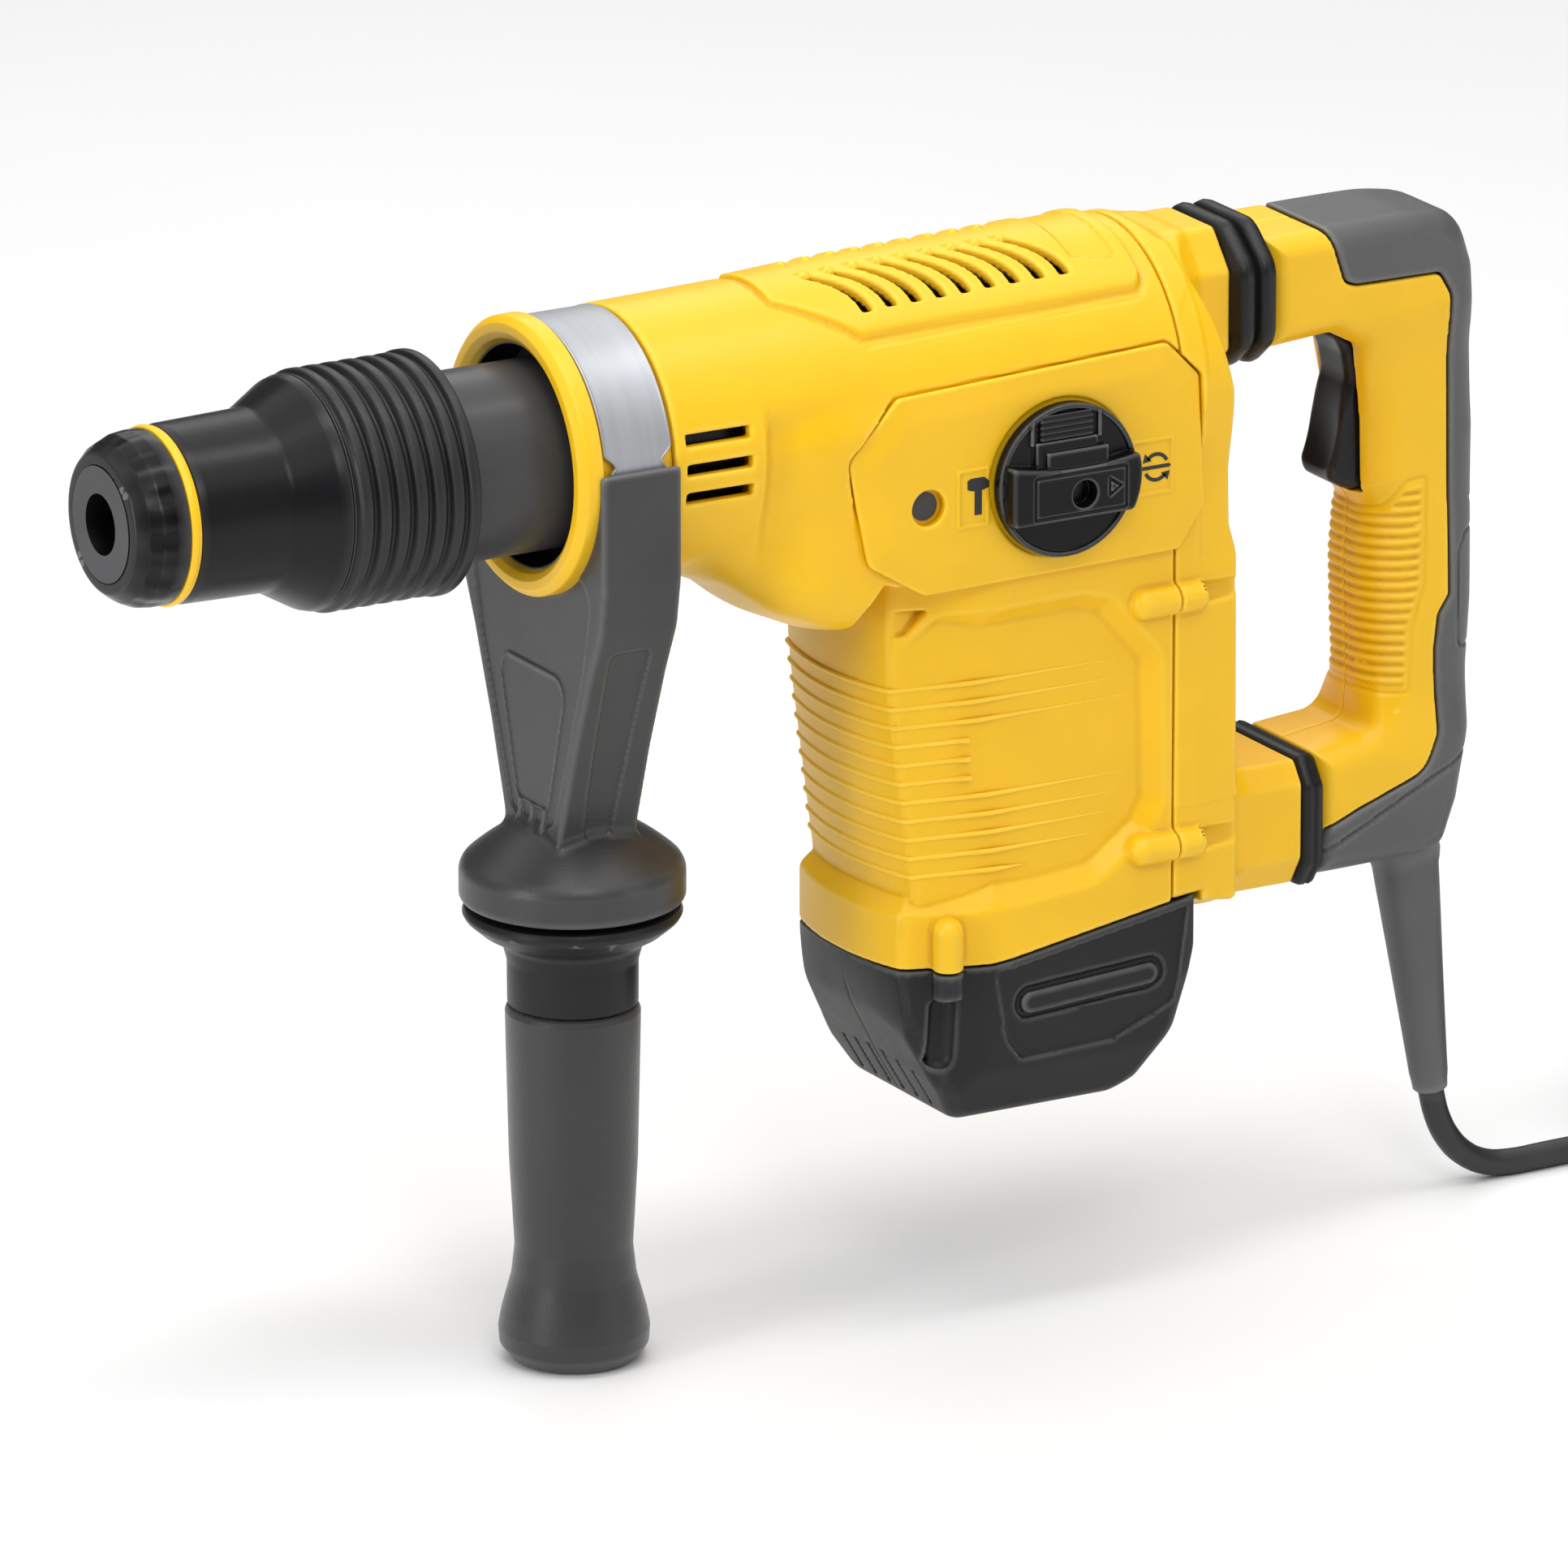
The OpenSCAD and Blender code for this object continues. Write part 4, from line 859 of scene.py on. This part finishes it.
def flat_sign(name, outlines, y, thick, surface, body, slot):
    """Thin raised printing: closed (x, z) outlines, standing off the plane y."""
    points, faces = [], []
    for outline in outlines:
        first, count = len(points), len(outline)
        area = sum(a[0] * b[1] - b[0] * a[1] for a, b in zip(outline, outline[1:] + outline[:1]))
        outline = outline if area > 0 else outline[::-1]
        points += [(u, y, v) for u, v in outline] + [(u, y - thick, v) for u, v in outline]
        faces.append(tuple(range(first, first + count))[::-1])
        faces.append(tuple(range(first + count, first + 2 * count)))
        for i in range(count):
            j = (i + 1) % count
            faces.append((first + i, first + j, first + count + j, first + count + i))
    piece = add_mesh(name, points, faces, surface, smooth_angle=30)
    return place(piece, body, slot)


def arc_band(cx, cz, radius, width, start, stop, steps=14):
    """Part of a ring, as a closed outline."""
    angles = [math.radians(start + (stop - start) * i / steps) for i in range(steps + 1)]
    outer, inner = [[(cx + r * math.cos(a),
        cz + r * math.sin(a)) for a in angles] for r in (radius + width / 2, radius - width / 2)]
    return outer + inner[::-1]


hammer_sign = [[(263.6, -26), (266, -26), (266, -18.6), (263.6, -18.6)],
    [(261.2, -15.4), (262.4, -14.8), (266.8, -14.8), (268.4, -16.2), (268.4, -18), (266.6, -18.6),
    (262.6, -18.6), (261.2, -18)]]
flat_sign("hammer_sign", hammer_sign, -PLATE_Y, 0.16, PRINT_BLACK, "root", "black_plastic")
# Black discs at the bottom of the screw wells in both plates: painted shade for the wells' dark depth.
for side, name in ((-39.7, "screw_well_shade_left"), (40, "screw_well_shade_right")):
    flat_sign(name, [arc_band(WELL_X, WELL_Z, 2.2, 4.2, 0, 359, 24)], side, 0.3, BLACK, "root",
        "black_plastic")
CHISEL_X, CHISEL_Z = 325.2, -20.6
chisel_sign = [[(319.6, CHISEL_Z - 0.55), (329.6, CHISEL_Z - 0.55), (330.2, CHISEL_Z),
    (329.6, CHISEL_Z + 0.55), (319.6, CHISEL_Z + 0.55)], [(318.4, CHISEL_Z - 1.5), (319.8, CHISEL_Z - 0.55),
    (319.8, CHISEL_Z + 0.55), (318.4, CHISEL_Z + 1.5)], arc_band(CHISEL_X, CHISEL_Z, 3.9, 1.1, 25, 140),
    arc_band(CHISEL_X, CHISEL_Z, 3.9, 1.1, 205, 320), [(320.6, CHISEL_Z + 1.7), (323.6, CHISEL_Z + 2),
    (321.4, CHISEL_Z + 4.4)], [(329.8, CHISEL_Z - 1.7), (326.8, CHISEL_Z - 2), (329, CHISEL_Z - 4.4)]]
flat_sign("chisel_turn_sign", chisel_sign, -PLATE_Y, 0.16, PRINT_BLACK, "root", "black_plastic")

# ---------------------------------------------------------------- mode knob

KNOB_R = 23.2


def mode_knob(x, y, z):
    u, v, h = x - KNOB_X, z - KNOB_Z, -y
    radius = span(u, v)
    disc = meet(radius - KNOB_R, slab(h, 43.3, 47.6), 0.7)
    disc = carve(disc, overlap(radius - KNOB_R + 1.6, 46.6 - h), 0.4)
    stem = overlap(radius - 7.6, slab(h, 37.5, 45))
    # handle bar across the disc, a little hollow along its upper edge
    top_edge = v - 4.5 - 0.0045 * (u - 3) ** 2
    bar = meet(meet(overlap(top_edge, -11 - v), radius - KNOB_R + 0.2, 1), h - 51.4, 1.1)
    bar = meet(bar, -21.5 - u + 0.25 * (h - 47), 1)
    step = meet(meet(slab(u, -8.6, 12.2), v - 9.8, 0.5), h - 50, 0.6)
    ledge = meet(meet(slab(u, -11.4, 9.4), v - 12.8, 0.5), h - 48.4, 0.5)
    blocks = join(bar, join(overlap(step, -v), overlap(ledge, -v), 0.2), 0.3)
    blocks = overlap(blocks, 44 - h)
    rails = meet(abs(abs(u + 1) - 11.4) - 0.6, slab(v, 12, 22), 0.3)
    rails = overlap(rails, radius - KNOB_R + 0.6, slab(h, 44, 47.9))
    shape = join(join(disc, blocks, 0.4), rails, 0.3)
    panel = polygon(soften([(-13.4, -9.4, 0.8), (-13.4, 3.2, 1), (17.4, 3.2, 0.8), (17.4, -9.4, 0.8)]), u, v)
    shape = carve(shape, overlap(abs(panel) - 0.4, 50.9 - h), 0.3)
    dimple = overlap(span(u - 3.4, v + 3.7) - 4.2, 46.5 - h)
    shape = carve(shape, dimple, 0.4)
    arrow = polygon([(11.2, -6.2), (11.2, 0.8), (16.4, -2.7)], u, v)
    return overlap(join(shape, stem, 0.5), -overlap(abs(arrow + 0.5) - 0.4, 50.7 - h))


place(solid("mode_knob_skin", mode_knob, (269, -51.9, -42.5), (316.6, -37, 5.2), 0.42, BLACK_GLOSS),
    "mode_knob", "black_plastic", "mode_knob")


def lock_button(x, y, z):
    u, v, h = x - KNOB_X, z - KNOB_Z, -y
    slide = meet(meet(slab(u, -9.6, 7.8), slab(v, 13, 20.4), 0.6), h - 48, 0.5)
    ribs = 0.3 * np.cos(v * 2 * math.pi / 1.8)
    return overlap(slide + ribs * (h > 47.4), 46.6 - h)


place(solid("lock_button_skin", lock_button, (282.5, -49, -6.2), (301.5, -46.2, 2.4), 0.35, BLACK),
    "lock_button", "black_plastic", "lock_button")

# ---------------------------------------------------------------- motor housing

CAP_REAR_X = 342
CAP_FRONT_Z, CAP_REAR_Z = -166.5, -155.5
BELT_RIDGE_X = 246.8
SCREW_LEVELS = (-63, -138.7)
SCREW_W = 39.8
UPRIGHT_X, UPRIGHT_W, UPRIGHT_R = 259, 36.4, 4.6
FRONT_BOW_R = 92
RIDGE_W = 30
PANEL_W = 34.6
INNER_RIDGE_X = 242.8
RIB_TOP_Z, RIB_PITCH = -80, 5.83


def cap_parting(x):
    """Height of the line between the motor housing and its end cap."""
    return CAP_FRONT_Z + np.maximum(x - 274, 0) * (CAP_REAR_Z - CAP_FRONT_Z) / (CAP_REAR_X - 274)


def bowed_front(x, w, ridge_x):
    """Distance behind a bowed front face whose ridges stand at (ridge_x, RIDGE_W)."""
    centre_x = ridge_x + math.sqrt(FRONT_BOW_R ** 2 - RIDGE_W ** 2)
    return span(x - centre_x, w) - FRONT_BOW_R


def facet(x, w, ridge_x, far_x, far_w):
    """Distance outside the slanted flat from the ridge back to (far_x, far_w)."""
    run, rise = far_x - ridge_x, far_w - RIDGE_W
    length = math.hypot(run, rise)
    return (-(x - ridge_x) * rise + (w - RIDGE_W) * run) / length


def inner_ridge_x(z):
    return INNER_RIDGE_X + np.clip(RIB_TOP_Z - z, -10, 75) * 0.132


def motor_core(x, w, z):
    """The ribbed surface: bowed leaning front, slanted facets and flat sides."""
    lean = inner_ridge_x(z) - INNER_RIDGE_X
    front = meet(bowed_front(x - lean, w, INNER_RIDGE_X), facet(x - lean, w, INNER_RIDGE_X, 268, PANEL_W), 2)
    return meet(front, w - PANEL_W, 3)


def belt_front(x, w, r):
    """Bowed front and slanted facets that the motor housing's belt and the cap share."""
    return meet(bowed_front(x, w, BELT_RIDGE_X), facet(x, w, BELT_RIDGE_X, 273.6, 39.3), r)


def motor_outer(x, w, z):
    """The housing round the ribbed surface, leaning forward towards the belt."""
    return meet(belt_front(x + 4 * (1 - ramp(-z, 70, 140)), w, 2), w - 39.5, 3)


recess_side = soften([(200, -68), (246, -68, 6), (256, -57.5, 6), (303, -56.6, 6), (313, -59.5, 8),
    (330, -79, 10), (331, -125, 10), (326, -134, 8), (309, -146.5, 14), (270, -150, 10), (200, -149)])
motor_region = [(400, -45.9), (240.2, -45.9), (236, -44.4), (229.6, -52), (226.8, -60.4), (231.4, -65),
    (231.4, -200), (400, -200)]


def screw_bosses(x, y, z, start, stop):
    """Round bosses for the seam screws, standing half out of the side."""
    found = 1000
    for level in SCREW_LEVELS:
        found = np.minimum(found, span(x - np.clip(x, start, stop), abs(y) - SCREW_W, z - level) - 4.6)
    return found


def motor_housing(x, y, z):
    w = abs(y)
    outer = motor_outer(x, w, z)
    depth = np.maximum(-outer, 0)
    side = polygon(recess_side, x, z)
    cut = meet((side + 1.15 * depth) * 0.66, -motor_core(x, w, z), 0.4)
    shape = carve(outer, cut, 0.7)
    shape = join(shape, screw_bosses(x, y, z, 323.2, 345), 1.2)
    # upright screw boss on each front facet, running down into the cap
    upright = span(x - UPRIGHT_X, w - UPRIGHT_W, z - np.clip(z, -220, -154.6)) - UPRIGHT_R
    shape = join(shape, upright, 1.2)
    # small screw pocket under the barrel's parting line
    pocket = meet(slab(x, 236.5, 250.5 + 0.9 * (z + 60)), slab(z, -63.5, -56), 1)
    shape = carve(shape, overlap(pocket, 29.6 - w), 0.6)
    shape = meet(shape, slab(x, 225, SEAM_X), 0.6)
    shape = meet(shape, (cap_parting(x) + 0.3 - z) * 0.985, 0.6)
    return meet(shape, polygon(motor_region, x, z), 0.7)


place(solid("motor_skin", motor_housing, (232, -45, -167), (334.2, 45, -44), 0.85, YELLOW), "root",
    "yellow_plastic", "motor_housing")


def core_path(level, stop_x, steps=26):
    """Plan points on the ribbed surface from one side's rib end round the front to the other's."""
    lean = float(inner_ridge_x(level)) - INNER_RIDGE_X
    ridge_x = INNER_RIDGE_X + lean
    centre_x = ridge_x + math.sqrt(FRONT_BOW_R ** 2 - RIDGE_W ** 2)
    half_angle = math.asin((RIDGE_W - 1.2) / FRONT_BOW_R)
    front = [(centre_x - FRONT_BOW_R * math.cos(a), FRONT_BOW_R * math.sin(a)) for a in np.linspace(0,
        half_angle, 8)]
    flank = soften([front[-1], (ridge_x + 0.15, RIDGE_W - 0.2, 2.6), (268 + lean, PANEL_W, 14),
        (stop_x, PANEL_W)], False, steps // 4)
    half = front[:-1] + flank
    return [(u, -v) for u, v in half[::-1]] + half[1:]


def raised_rib(level, stop_x, width=1.5, height=0.65):
    """One thin half-round rib along the ribbed surface, with rounded ends."""
    path = np.array(core_path(level, stop_x))
    ahead = np.gradient(path, axis=0)
    ahead /= np.linalg.norm(ahead, axis=1, keepdims=True)
    out = np.stack([-ahead[:, 1], ahead[:, 0]], axis=1)
    along = np.concatenate([[0], np.cumsum(np.linalg.norm(np.diff(path, axis=0), axis=1))])
    from_end = np.minimum(along, along[-1] - along)
    swell = np.sqrt(np.clip(from_end / 1.2, 0.02, 1))
    angles = np.linspace(-0.25 * math.pi, 1.25 * math.pi, 9)
    points = []
    for (u, v), (ou, ov), grow in zip(path, out, swell):
        for a in angles:
            off = height * grow * math.sin(a)
            points.append((u + ou * off, v + ov * off, level + 0.5 * width * grow * math.cos(a)))
    return points, swept_faces(len(path), len(angles), caps=True)


RIB_ENDS = (317, 319.5, 319.5, 263, 263, 263, 319.5, 318, 314, 310, 287)
rib_points, rib_faces = [], []
for n, stop_x in enumerate(RIB_ENDS):
    more_points, more_faces = raised_rib(RIB_TOP_Z - n * RIB_PITCH, stop_x)
    rib_faces += [tuple(i + len(rib_points) for i in face) for face in more_faces]
    rib_points += more_points
place(add_mesh("motor_ribs", rib_points, rib_faces, YELLOW, smooth_angle=60), "root", "yellow_plastic")

# ---------------------------------------------------------------- motor end cap

cap_side = soften([(242.2, -140), (242.4, -168), (247.4, -184, 30), (257, -202.5, 16), (266, -217.6, 5),
    (319, -218, 6), (327.8, -213, 6), (337.8, -197, 14), (343.4, -172, 14), (343.4, -140)])
cap_front = soften([(-3, -140), (39.4, -140), (39.4, -180, 30), (36.4, -200, 16), (29, -218, 7),
    (-3, -218)])
cap_panel = soften([(273, -160), (278.5, -190, 3), (284, -197.5, 4), (316, -196.4, 6), (335, -188, 6),
    (339, -160, 2), (339, -150), (273, -150)])


def slanted_bar(x, z, grow):
    """Oblong with round ends along the cap's side."""
    ax, az, bx, bz = 286.2, -180, 326.4, -177.7
    t = np.clip(((x - ax) * (bx - ax) + (z - az) * (bz - az)) / ((bx - ax) ** 2 + (bz - az) ** 2), 0, 1)
    return span(x - ax - t * (bx - ax), z - az - t * (bz - az)) - grow


def motor_cap(x, y, z):
    w = abs(y)
    body = meet(belt_front(x, w, 2.2), polygon(cap_front, w, z), 2.5)
    body = meet(body, polygon(cap_side, x, z), 4.5)
    # side panel, set back, with an oblong bar in its own hollow
    panel = overlap(polygon(cap_panel, x, z), z - cap_parting(x) + 3)
    body = carve(body, overlap(panel, -body - 1), 0.5)
    hollow = meet(slanted_bar(x, z, 5), -body - 1.1, 0.4)
    body = carve(body, overlap(hollow, w - 60), 0.5)
    bar = meet(slanted_bar(x, z, 3.3), w - 39.2, 0.8)
    body = join(body, overlap(bar, 33 - w), 0.3)
    # collar and long groove under the upright boss
    upright = span(x - UPRIGHT_X, w - UPRIGHT_W)
    collar = meet(upright - UPRIGHT_R, abs(z + 167) - 8, 0.8)
    body = join(body, collar, 0.8)
    beside = x - UPRIGHT_X - 0.05 * (z + 175)
    groove = span(beside, body - 0.6, z - np.clip(z, -194, -178.6)) - 3.9
    body = carve(body, overlap(groove, 20 - w), 0.6)
    # vent fins low on the front
    for level in (4, 12, 20):
        fin = overlap(abs(w - level) - 0.6, slab(z, -213, -199 - 0.12 * level))
        body = carve(body, overlap(fin, x - 268, -body - 1.3), 0.3)
    body = meet(body, z - cap_parting(x) + 0.35, 0.6)
    return meet(body, x - CAP_REAR_X - 1.4, 0.6)


place(solid("motor_cap_skin", motor_cap, (240, -42, -219), (343.9, 42, -155), 0.8, CHARCOAL), "root",
    "charcoal_plastic", "motor_cap")

# ---------------------------------------------------------------- rear housing

STEP_X = 342
ARM_STUB_X, LOWER_STUB_X = 363, 388
rear_side = soften([(SEAM_X - 5, 60), (341, 41.5, 3), (348.6, 18, 5), (353.2, -2, 6), (354.4, -44, 4),
    (356.8, -52, 4), (357.6, -160.4, 2), (344.2, -158.4), (344.2, -155.2), (SEAM_X - 5, -156.6)])
stub_front = soften([(-3, -3), (14, -3, 2), (22, 4, 3), (22, 28, 3), (12.5, 39.5, 3), (-3, 39.5)])
lower_front = soften([(-3, -165.2), (19, -165.2, 2), (24.5, -156, 3), (24.5, -133, 2.5), (20, -126.6, 1.5),
    (-3, -126.6)])


def rear_housing(x, y, z):
    """The part behind the seam, with a stub for each arm of the rear handle."""
    w = abs(y)
    radial = span(y, z)
    flank = overlap(w - 39.6, z + 5)
    section = join(radial - BARREL_REAR_R, flank, 3)
    section = overlap(section, w - 44)
    # the rear tapers in behind a step
    taper = section + 0.1 * np.maximum(x - STEP_X, 0) + 0.5 * ramp(x, STEP_X, STEP_X + 0.7) * ramp(z, -56,
        -50)
    shape = meet(taper, polygon(rear_side, x, z), 2.2)
    shape = meet(shape, SEAM_X + 0.4 - x, 0.6)
    top = meet(polygon(stub_front, w, z), slab(x, SEAM_X + 4, ARM_STUB_X), 0.8)
    # shoulders that widen the upper arm towards the housing
    flare = 0.9 * np.maximum(352 - x, 0)
    shoulders = meet(polygon(stub_front, w, z) - flare, overlap(slab(x, SEAM_X + 0.4, 352), z - 39.5), 1.5)
    shoulders = overlap(shoulders, radial - BARREL_REAR_R)
    lower = meet(polygon(lower_front, w, z) - 0.5 * np.maximum(366 - x, 0) * (z > -128),
        slab(x, SEAM_X + 8, LOWER_STUB_X), 0.8)
    ramp_block = polygon([(350, -112), (358, -114), (368, -127), (368, -150), (350, -150)], x, z)
    lower = join(lower, meet(ramp_block, w - 17 - 0.2 * np.maximum(366 - x, 0), 1.5), 2)
    shape = join(join(shape, top, 3), shoulders, 2)
    shape = overlap(join(shape, lower, 14), taper - 0.2)
    shape = overlap(shape, -165.4 - z)
    shape = join(shape, screw_bosses(x, y, z, 320, 341), 1.2)
    shape = meet(shape, SEAM_X + 0.4 - x, 0.6)
    for level in SCREW_LEVELS:
        hole = overlap(span(w - SCREW_W, z - level) - 3.5, 339.3 - x)
        shape = carve(shape, hole, 0.4)
    shape = meet(shape, polygon([(SEAM_X, 70), (420, 70), (420, -190), (344.4, -190), (344.4, -155.2),
        (SEAM_X, -156.8)], x, z), 0.5)
    seat = overlap(polygon(plate_gap, x, z), SIDE_W - 0.4 - w)
    return overlap(shape, -seat)


place(solid("rear_skin", rear_housing, (333.5, -45.5, -167), (388.4, 45.5, 45), 0.85, YELLOW), "root",
    "yellow_plastic", "rear_housing")

# ---------------------------------------------------------------- rear handle

ARM_TOP_X, ARM_LOW_X = 378.6, 395.6
handle_outer = soften([(ARM_TOP_X, 0, 0.5), (ARM_TOP_X, 34, 1), (388, 34.4, 20), (428, 34.8, 50),
    (447.5, 32.6, 13), (452.8, 16, 14), (456, -34, 60), (455.8, -88, 30), (454.8, -108, 20),
    (454, -128, 20), (449.8, -150, 10), (443.5, -164.8, 7), (424, -164.4, 10), (ARM_LOW_X, -164, 1),
    (ARM_LOW_X, -126, 1), (416.6, -123.4, 5), (417.8, -108, 30), (416.6, -74, 50), (417.8, -54.5, 4),
    (414, -50, 2), (412.4, -4, 2), (402, 2, 6)])
cover_boundary = soften([(384, 60), (390, 41, 6), (399, 33, 5), (404, 18, 4), (408, 16.8, 3),
    (437.5, 16.2, 3), (441.8, 9, 8), (443.4, -84.5, 4), (439.6, -90, 4), (438.4, -101, 6),
    (439.4, -127, 10), (434, -138, 10), (409, -145.4, 10), (399, -149.2, 6), (391, -161.5, 6), (397, -172),
    (397, -185), (480, -185), (480, 60)])
grip_panel = soften([(396, -52.5), (417, -56, 3), (422, -55, 3), (427.4, -47.4, 3), (435.4, -46.6, 2),
    (434.4, -80, 6), (430, -93.5, 4), (429.6, -113, 2), (396, -111)])


def handle_half_width(x, z):
    """Narrow in the grip, wider in both arms."""
    top = (3.6 - 1.2 * ramp(x, 404, 450)) * ramp(z, -12, 8)
    low = (5.4 - 3.2 * ramp(x, 396, 448)) * ramp(-z, 108, 134)
    waist = 0.8 * np.sin(np.clip((z + 120) / 66, 0, 1) * math.pi)
    return 16.9 + top + low + waist


def handle_body(x, y, z):
    w = abs(y)
    outline = polygon(handle_outer, x, z)
    flank = w - handle_half_width(x, z)
    grip = (1 - ramp(z, -30, 4)) * ramp(z, -132, -104)
    round_body = meet(outline, flank, 13.5)
    flat_body = meet(outline, flank, 4.5 + 7 * ramp(x, 428, 450))
    body = flat_body + (round_body - flat_body) * grip
    # flats along the arms' edges
    return meet(body, (outline + flank) * 0.7071 + 2.8 - 0.8 * grip, 1.5)


def grip_ribs(x, z):
    """Rounded ribs over the front of the grip, with a fine border line."""
    panel = polygon(grip_panel, x, z)
    waves = 0.5 * np.cos((z + 58) * 2 * math.pi / 3.3) * ramp(-panel, 1.2, 3)
    return waves + 0.45 * np.exp(-((panel / 0.7) ** 2))


def handle_shell(x, y, z):
    """Yellow half shell, with room for the trigger and the damper spring."""
    body = handle_body(x, y, z) + grip_ribs(x, z)
    shape = meet(body, 0.35 - polygon(cover_boundary, x, z), 0.6)
    # slot that the trigger comes out of
    slot = meet(abs(y) - 9.9, polygon([(396, -1), (426, -1), (426, -51), (396, -51)], x, z), 1.5)
    spring_pocket = overlap(span(y, z - 18) - 10.4, x - 393)
    return carve(overlap(shape, -spring_pocket), slot, 0.7)


for sign, name in ((-1, "handle_shell_left"), (1, "handle_shell_right")):
    low_y, high_y = sorted((0, sign * 26))
    place(solid(name + "_skin", lambda x, y, z, s=sign: meet(handle_shell(x, y, z), 0.12 - y * s, 0.4),
        (378, low_y, -167), (457.4, high_y, 36), (0.8, 0.8, 0.55), YELLOW), "rear_handle", "yellow_plastic",
        name)


def overmould(x, y, z):
    """Grey rubber round the back of the handle."""
    body = handle_body(x, y, z) - 0.35
    shape = meet(body, polygon(cover_boundary, x, z) + 0.35, 1)
    w = abs(y)
    # long raised pad down the back, and a stepped lower pad
    back = overlap(slab(z, -58, 6), 448.5 - x)
    shape = carve(shape, overlap(abs(meet(back, w - 12, 2)) - 0.45, -body - 0.9), 0.3)
    low_pad = polygon(soften([(446.5, -72, 2), (450, -66, 2), (470, -66), (470, -102), (447, -102, 3)]), x,
        z)
    shape = carve(shape, overlap(abs(low_pad) - 0.4, -body - 0.8), 0.3)
    line = overlap(abs(z + 132 + 0.42 * (456 - x)) - 0.5, -body - 0.8)
    return carve(shape, line, 0.3)


place(solid("handle_cover_skin", overmould, (384, -26, -167.5), (458, 26, 37), 0.8, GREY_RUBBER),
    "rear_handle", "grey_rubber", "handle_overmould")

trigger_side = soften([(407, -1.8, 1.5), (411, -8, 6), (412.6, -16, 8), (408.6, -27, 10), (403.4, -36, 5),
    (403.6, -42.6, 4), (407.4, -47, 4), (411.4, -49.4, 3), (416, -50.4, 3), (421, -49, 3), (421, -10, 1),
    (416, -2.4, 2)])


def trigger(x, y, z):
    outline = polygon(trigger_side, x, z)
    body = meet(outline, abs(y) - 9, 3.2)
    scoop = span(y / 1.5, x - 396, (z + 21) / 2.2) - 15.2
    return carve(body, scoop, 2)


place(solid("trigger_skin", trigger, (399.8, -9.6, -54), (422, 9.6, -1.5), 0.5, BLACK), "trigger",
    "black_plastic", "trigger")

# ---------------------------------------------------------------- bellows, seal and cord guard


def ringed_collar(name, outline, rows, surface):
    """A closed folded collar: outline(grow) at each (x, grow) row, outside then back inside."""
    points = [(x, u, v) for x, grow in rows for u, v in outline(grow)]
    faces = swept_faces(len(rows), len(points) // len(rows), wrap=True)
    return add_mesh(name, points, faces, surface, smooth_angle=50)


def octagon(z, w, h, low_u, low_v, high_u, high_v, r):
    """Round-cornered octagon about (0, z); its corners' shares of the half sizes w and h."""
    half = [(w * low_u, z - h, r), (w, z - h * low_v, r), (w, z + h * high_v, r), (w * high_u, z + h, r)]
    return soften([(-w, z - h * low_v, r), (-w * low_u, z - h, r)] + half + [(-w * high_u, z + h, r),
        (-w, z + h * high_v, r)], True, 5)


def bellows_ring(grow):
    return octagon(18.4, 20.6 + grow, 16.6 + grow, 0.58, 0.58, 0.5, 0.5, 8)


def seal_ring(grow):
    return octagon(-146, 21 + grow, 15.6 + grow, 0.8, 0.6, 0.78, 0.6, 3)


bellows_rows = [(363.1, -2), (363.1, 1.6), (363.8, 2.2), (364.4, 3.9), (365.6, 5), (367.6, 5.4), (369.2, 5),
    (370.2, 3.8), (370.7, 1.4), (371.2, 1.4), (371.7, 3.8), (372.7, 5), (374.6, 5.4), (376.4, 5),
    (377.4, 3.9), (377.8, 2.2), (378.4, 1.6), (378.4, -2)]
bellows = ringed_collar("top_bellows_skin", bellows_ring, bellows_rows, BLACK_RUBBER)
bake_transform(bellows)
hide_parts("top_bellows")
seal_rows = [(388.1, -3), (388.1, 2.6), (388.7, 4), (390, 4.6), (391.4, 4.7), (392.2, 4.1), (393, 4.7),
    (394.2, 4.4), (395.2, 3.6), (395.5, 2.6), (395.5, -3)]
seal = ringed_collar("lower_seal_skin", seal_ring, seal_rows, BLACK_RUBBER)
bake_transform(seal)
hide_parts("lower_seal")

GUARD_TOP, GUARD_END = Vector((438.7, 0, -165)), Vector((449.6, 0, -245.5))
guard_length = (GUARD_END - GUARD_TOP).length
guard_axis = (GUARD_END - GUARD_TOP).normalized()
guard_side = Vector((-guard_axis.z, 0, guard_axis.x))


def cord_guard():
    """Tapered moulded sleeve, softly squared at the top, with a plain collar."""
    rows = [(-8, 8.8), (0.4, 8.8), (0.5, 10.4), (3, 10.7), (6, 10.3), (8, 9.8), (16, 9.4)]
    rows += [(16 + 56 * k / 14, 9.4 - 3.3 * k / 14) for k in range(1, 15)]
    rows += [(76, 5.9), (78.5, 5.5), (guard_length - 0.4, 5.3), (guard_length, 4.9), (guard_length, 4)]
    points, count = [], 48
    for along, radius in rows:
        centre = GUARD_TOP + guard_axis * along
        for i in range(count):
            a = 2 * math.pi * i / count
            square = 1 + 0.05 * math.cos(4 * a) * max(0, 1 - along / 60)
            out = guard_side * math.cos(a) + Vector((0, 1, 0)) * math.sin(a)
            points.append(tuple(centre + out * radius / square))
    faces = swept_faces(len(rows), count, caps=True)
    return add_mesh("cord_guard_skin", points, faces, GREY_RUBBER, smooth_angle=45)


place(cord_guard(), "rear_handle", "grey_rubber", "cord_guard")

# ---------------------------------------------------------------- floor


def pale_floor():
    """A large flat sheet under the hammer."""
    ticks = np.linspace(-12000, 12000, 13)
    points = [(u, v, FLOOR_Z / MM) for v in ticks for u in ticks]
    faces = [(j * 13 + i, j * 13 + i + 1, (j + 1) * 13 + i + 1,
        (j + 1) * 13 + i) for j in range(12) for i in range(12)]
    return add_mesh("pale_floor", points, faces, FLOOR)


pale_floor()
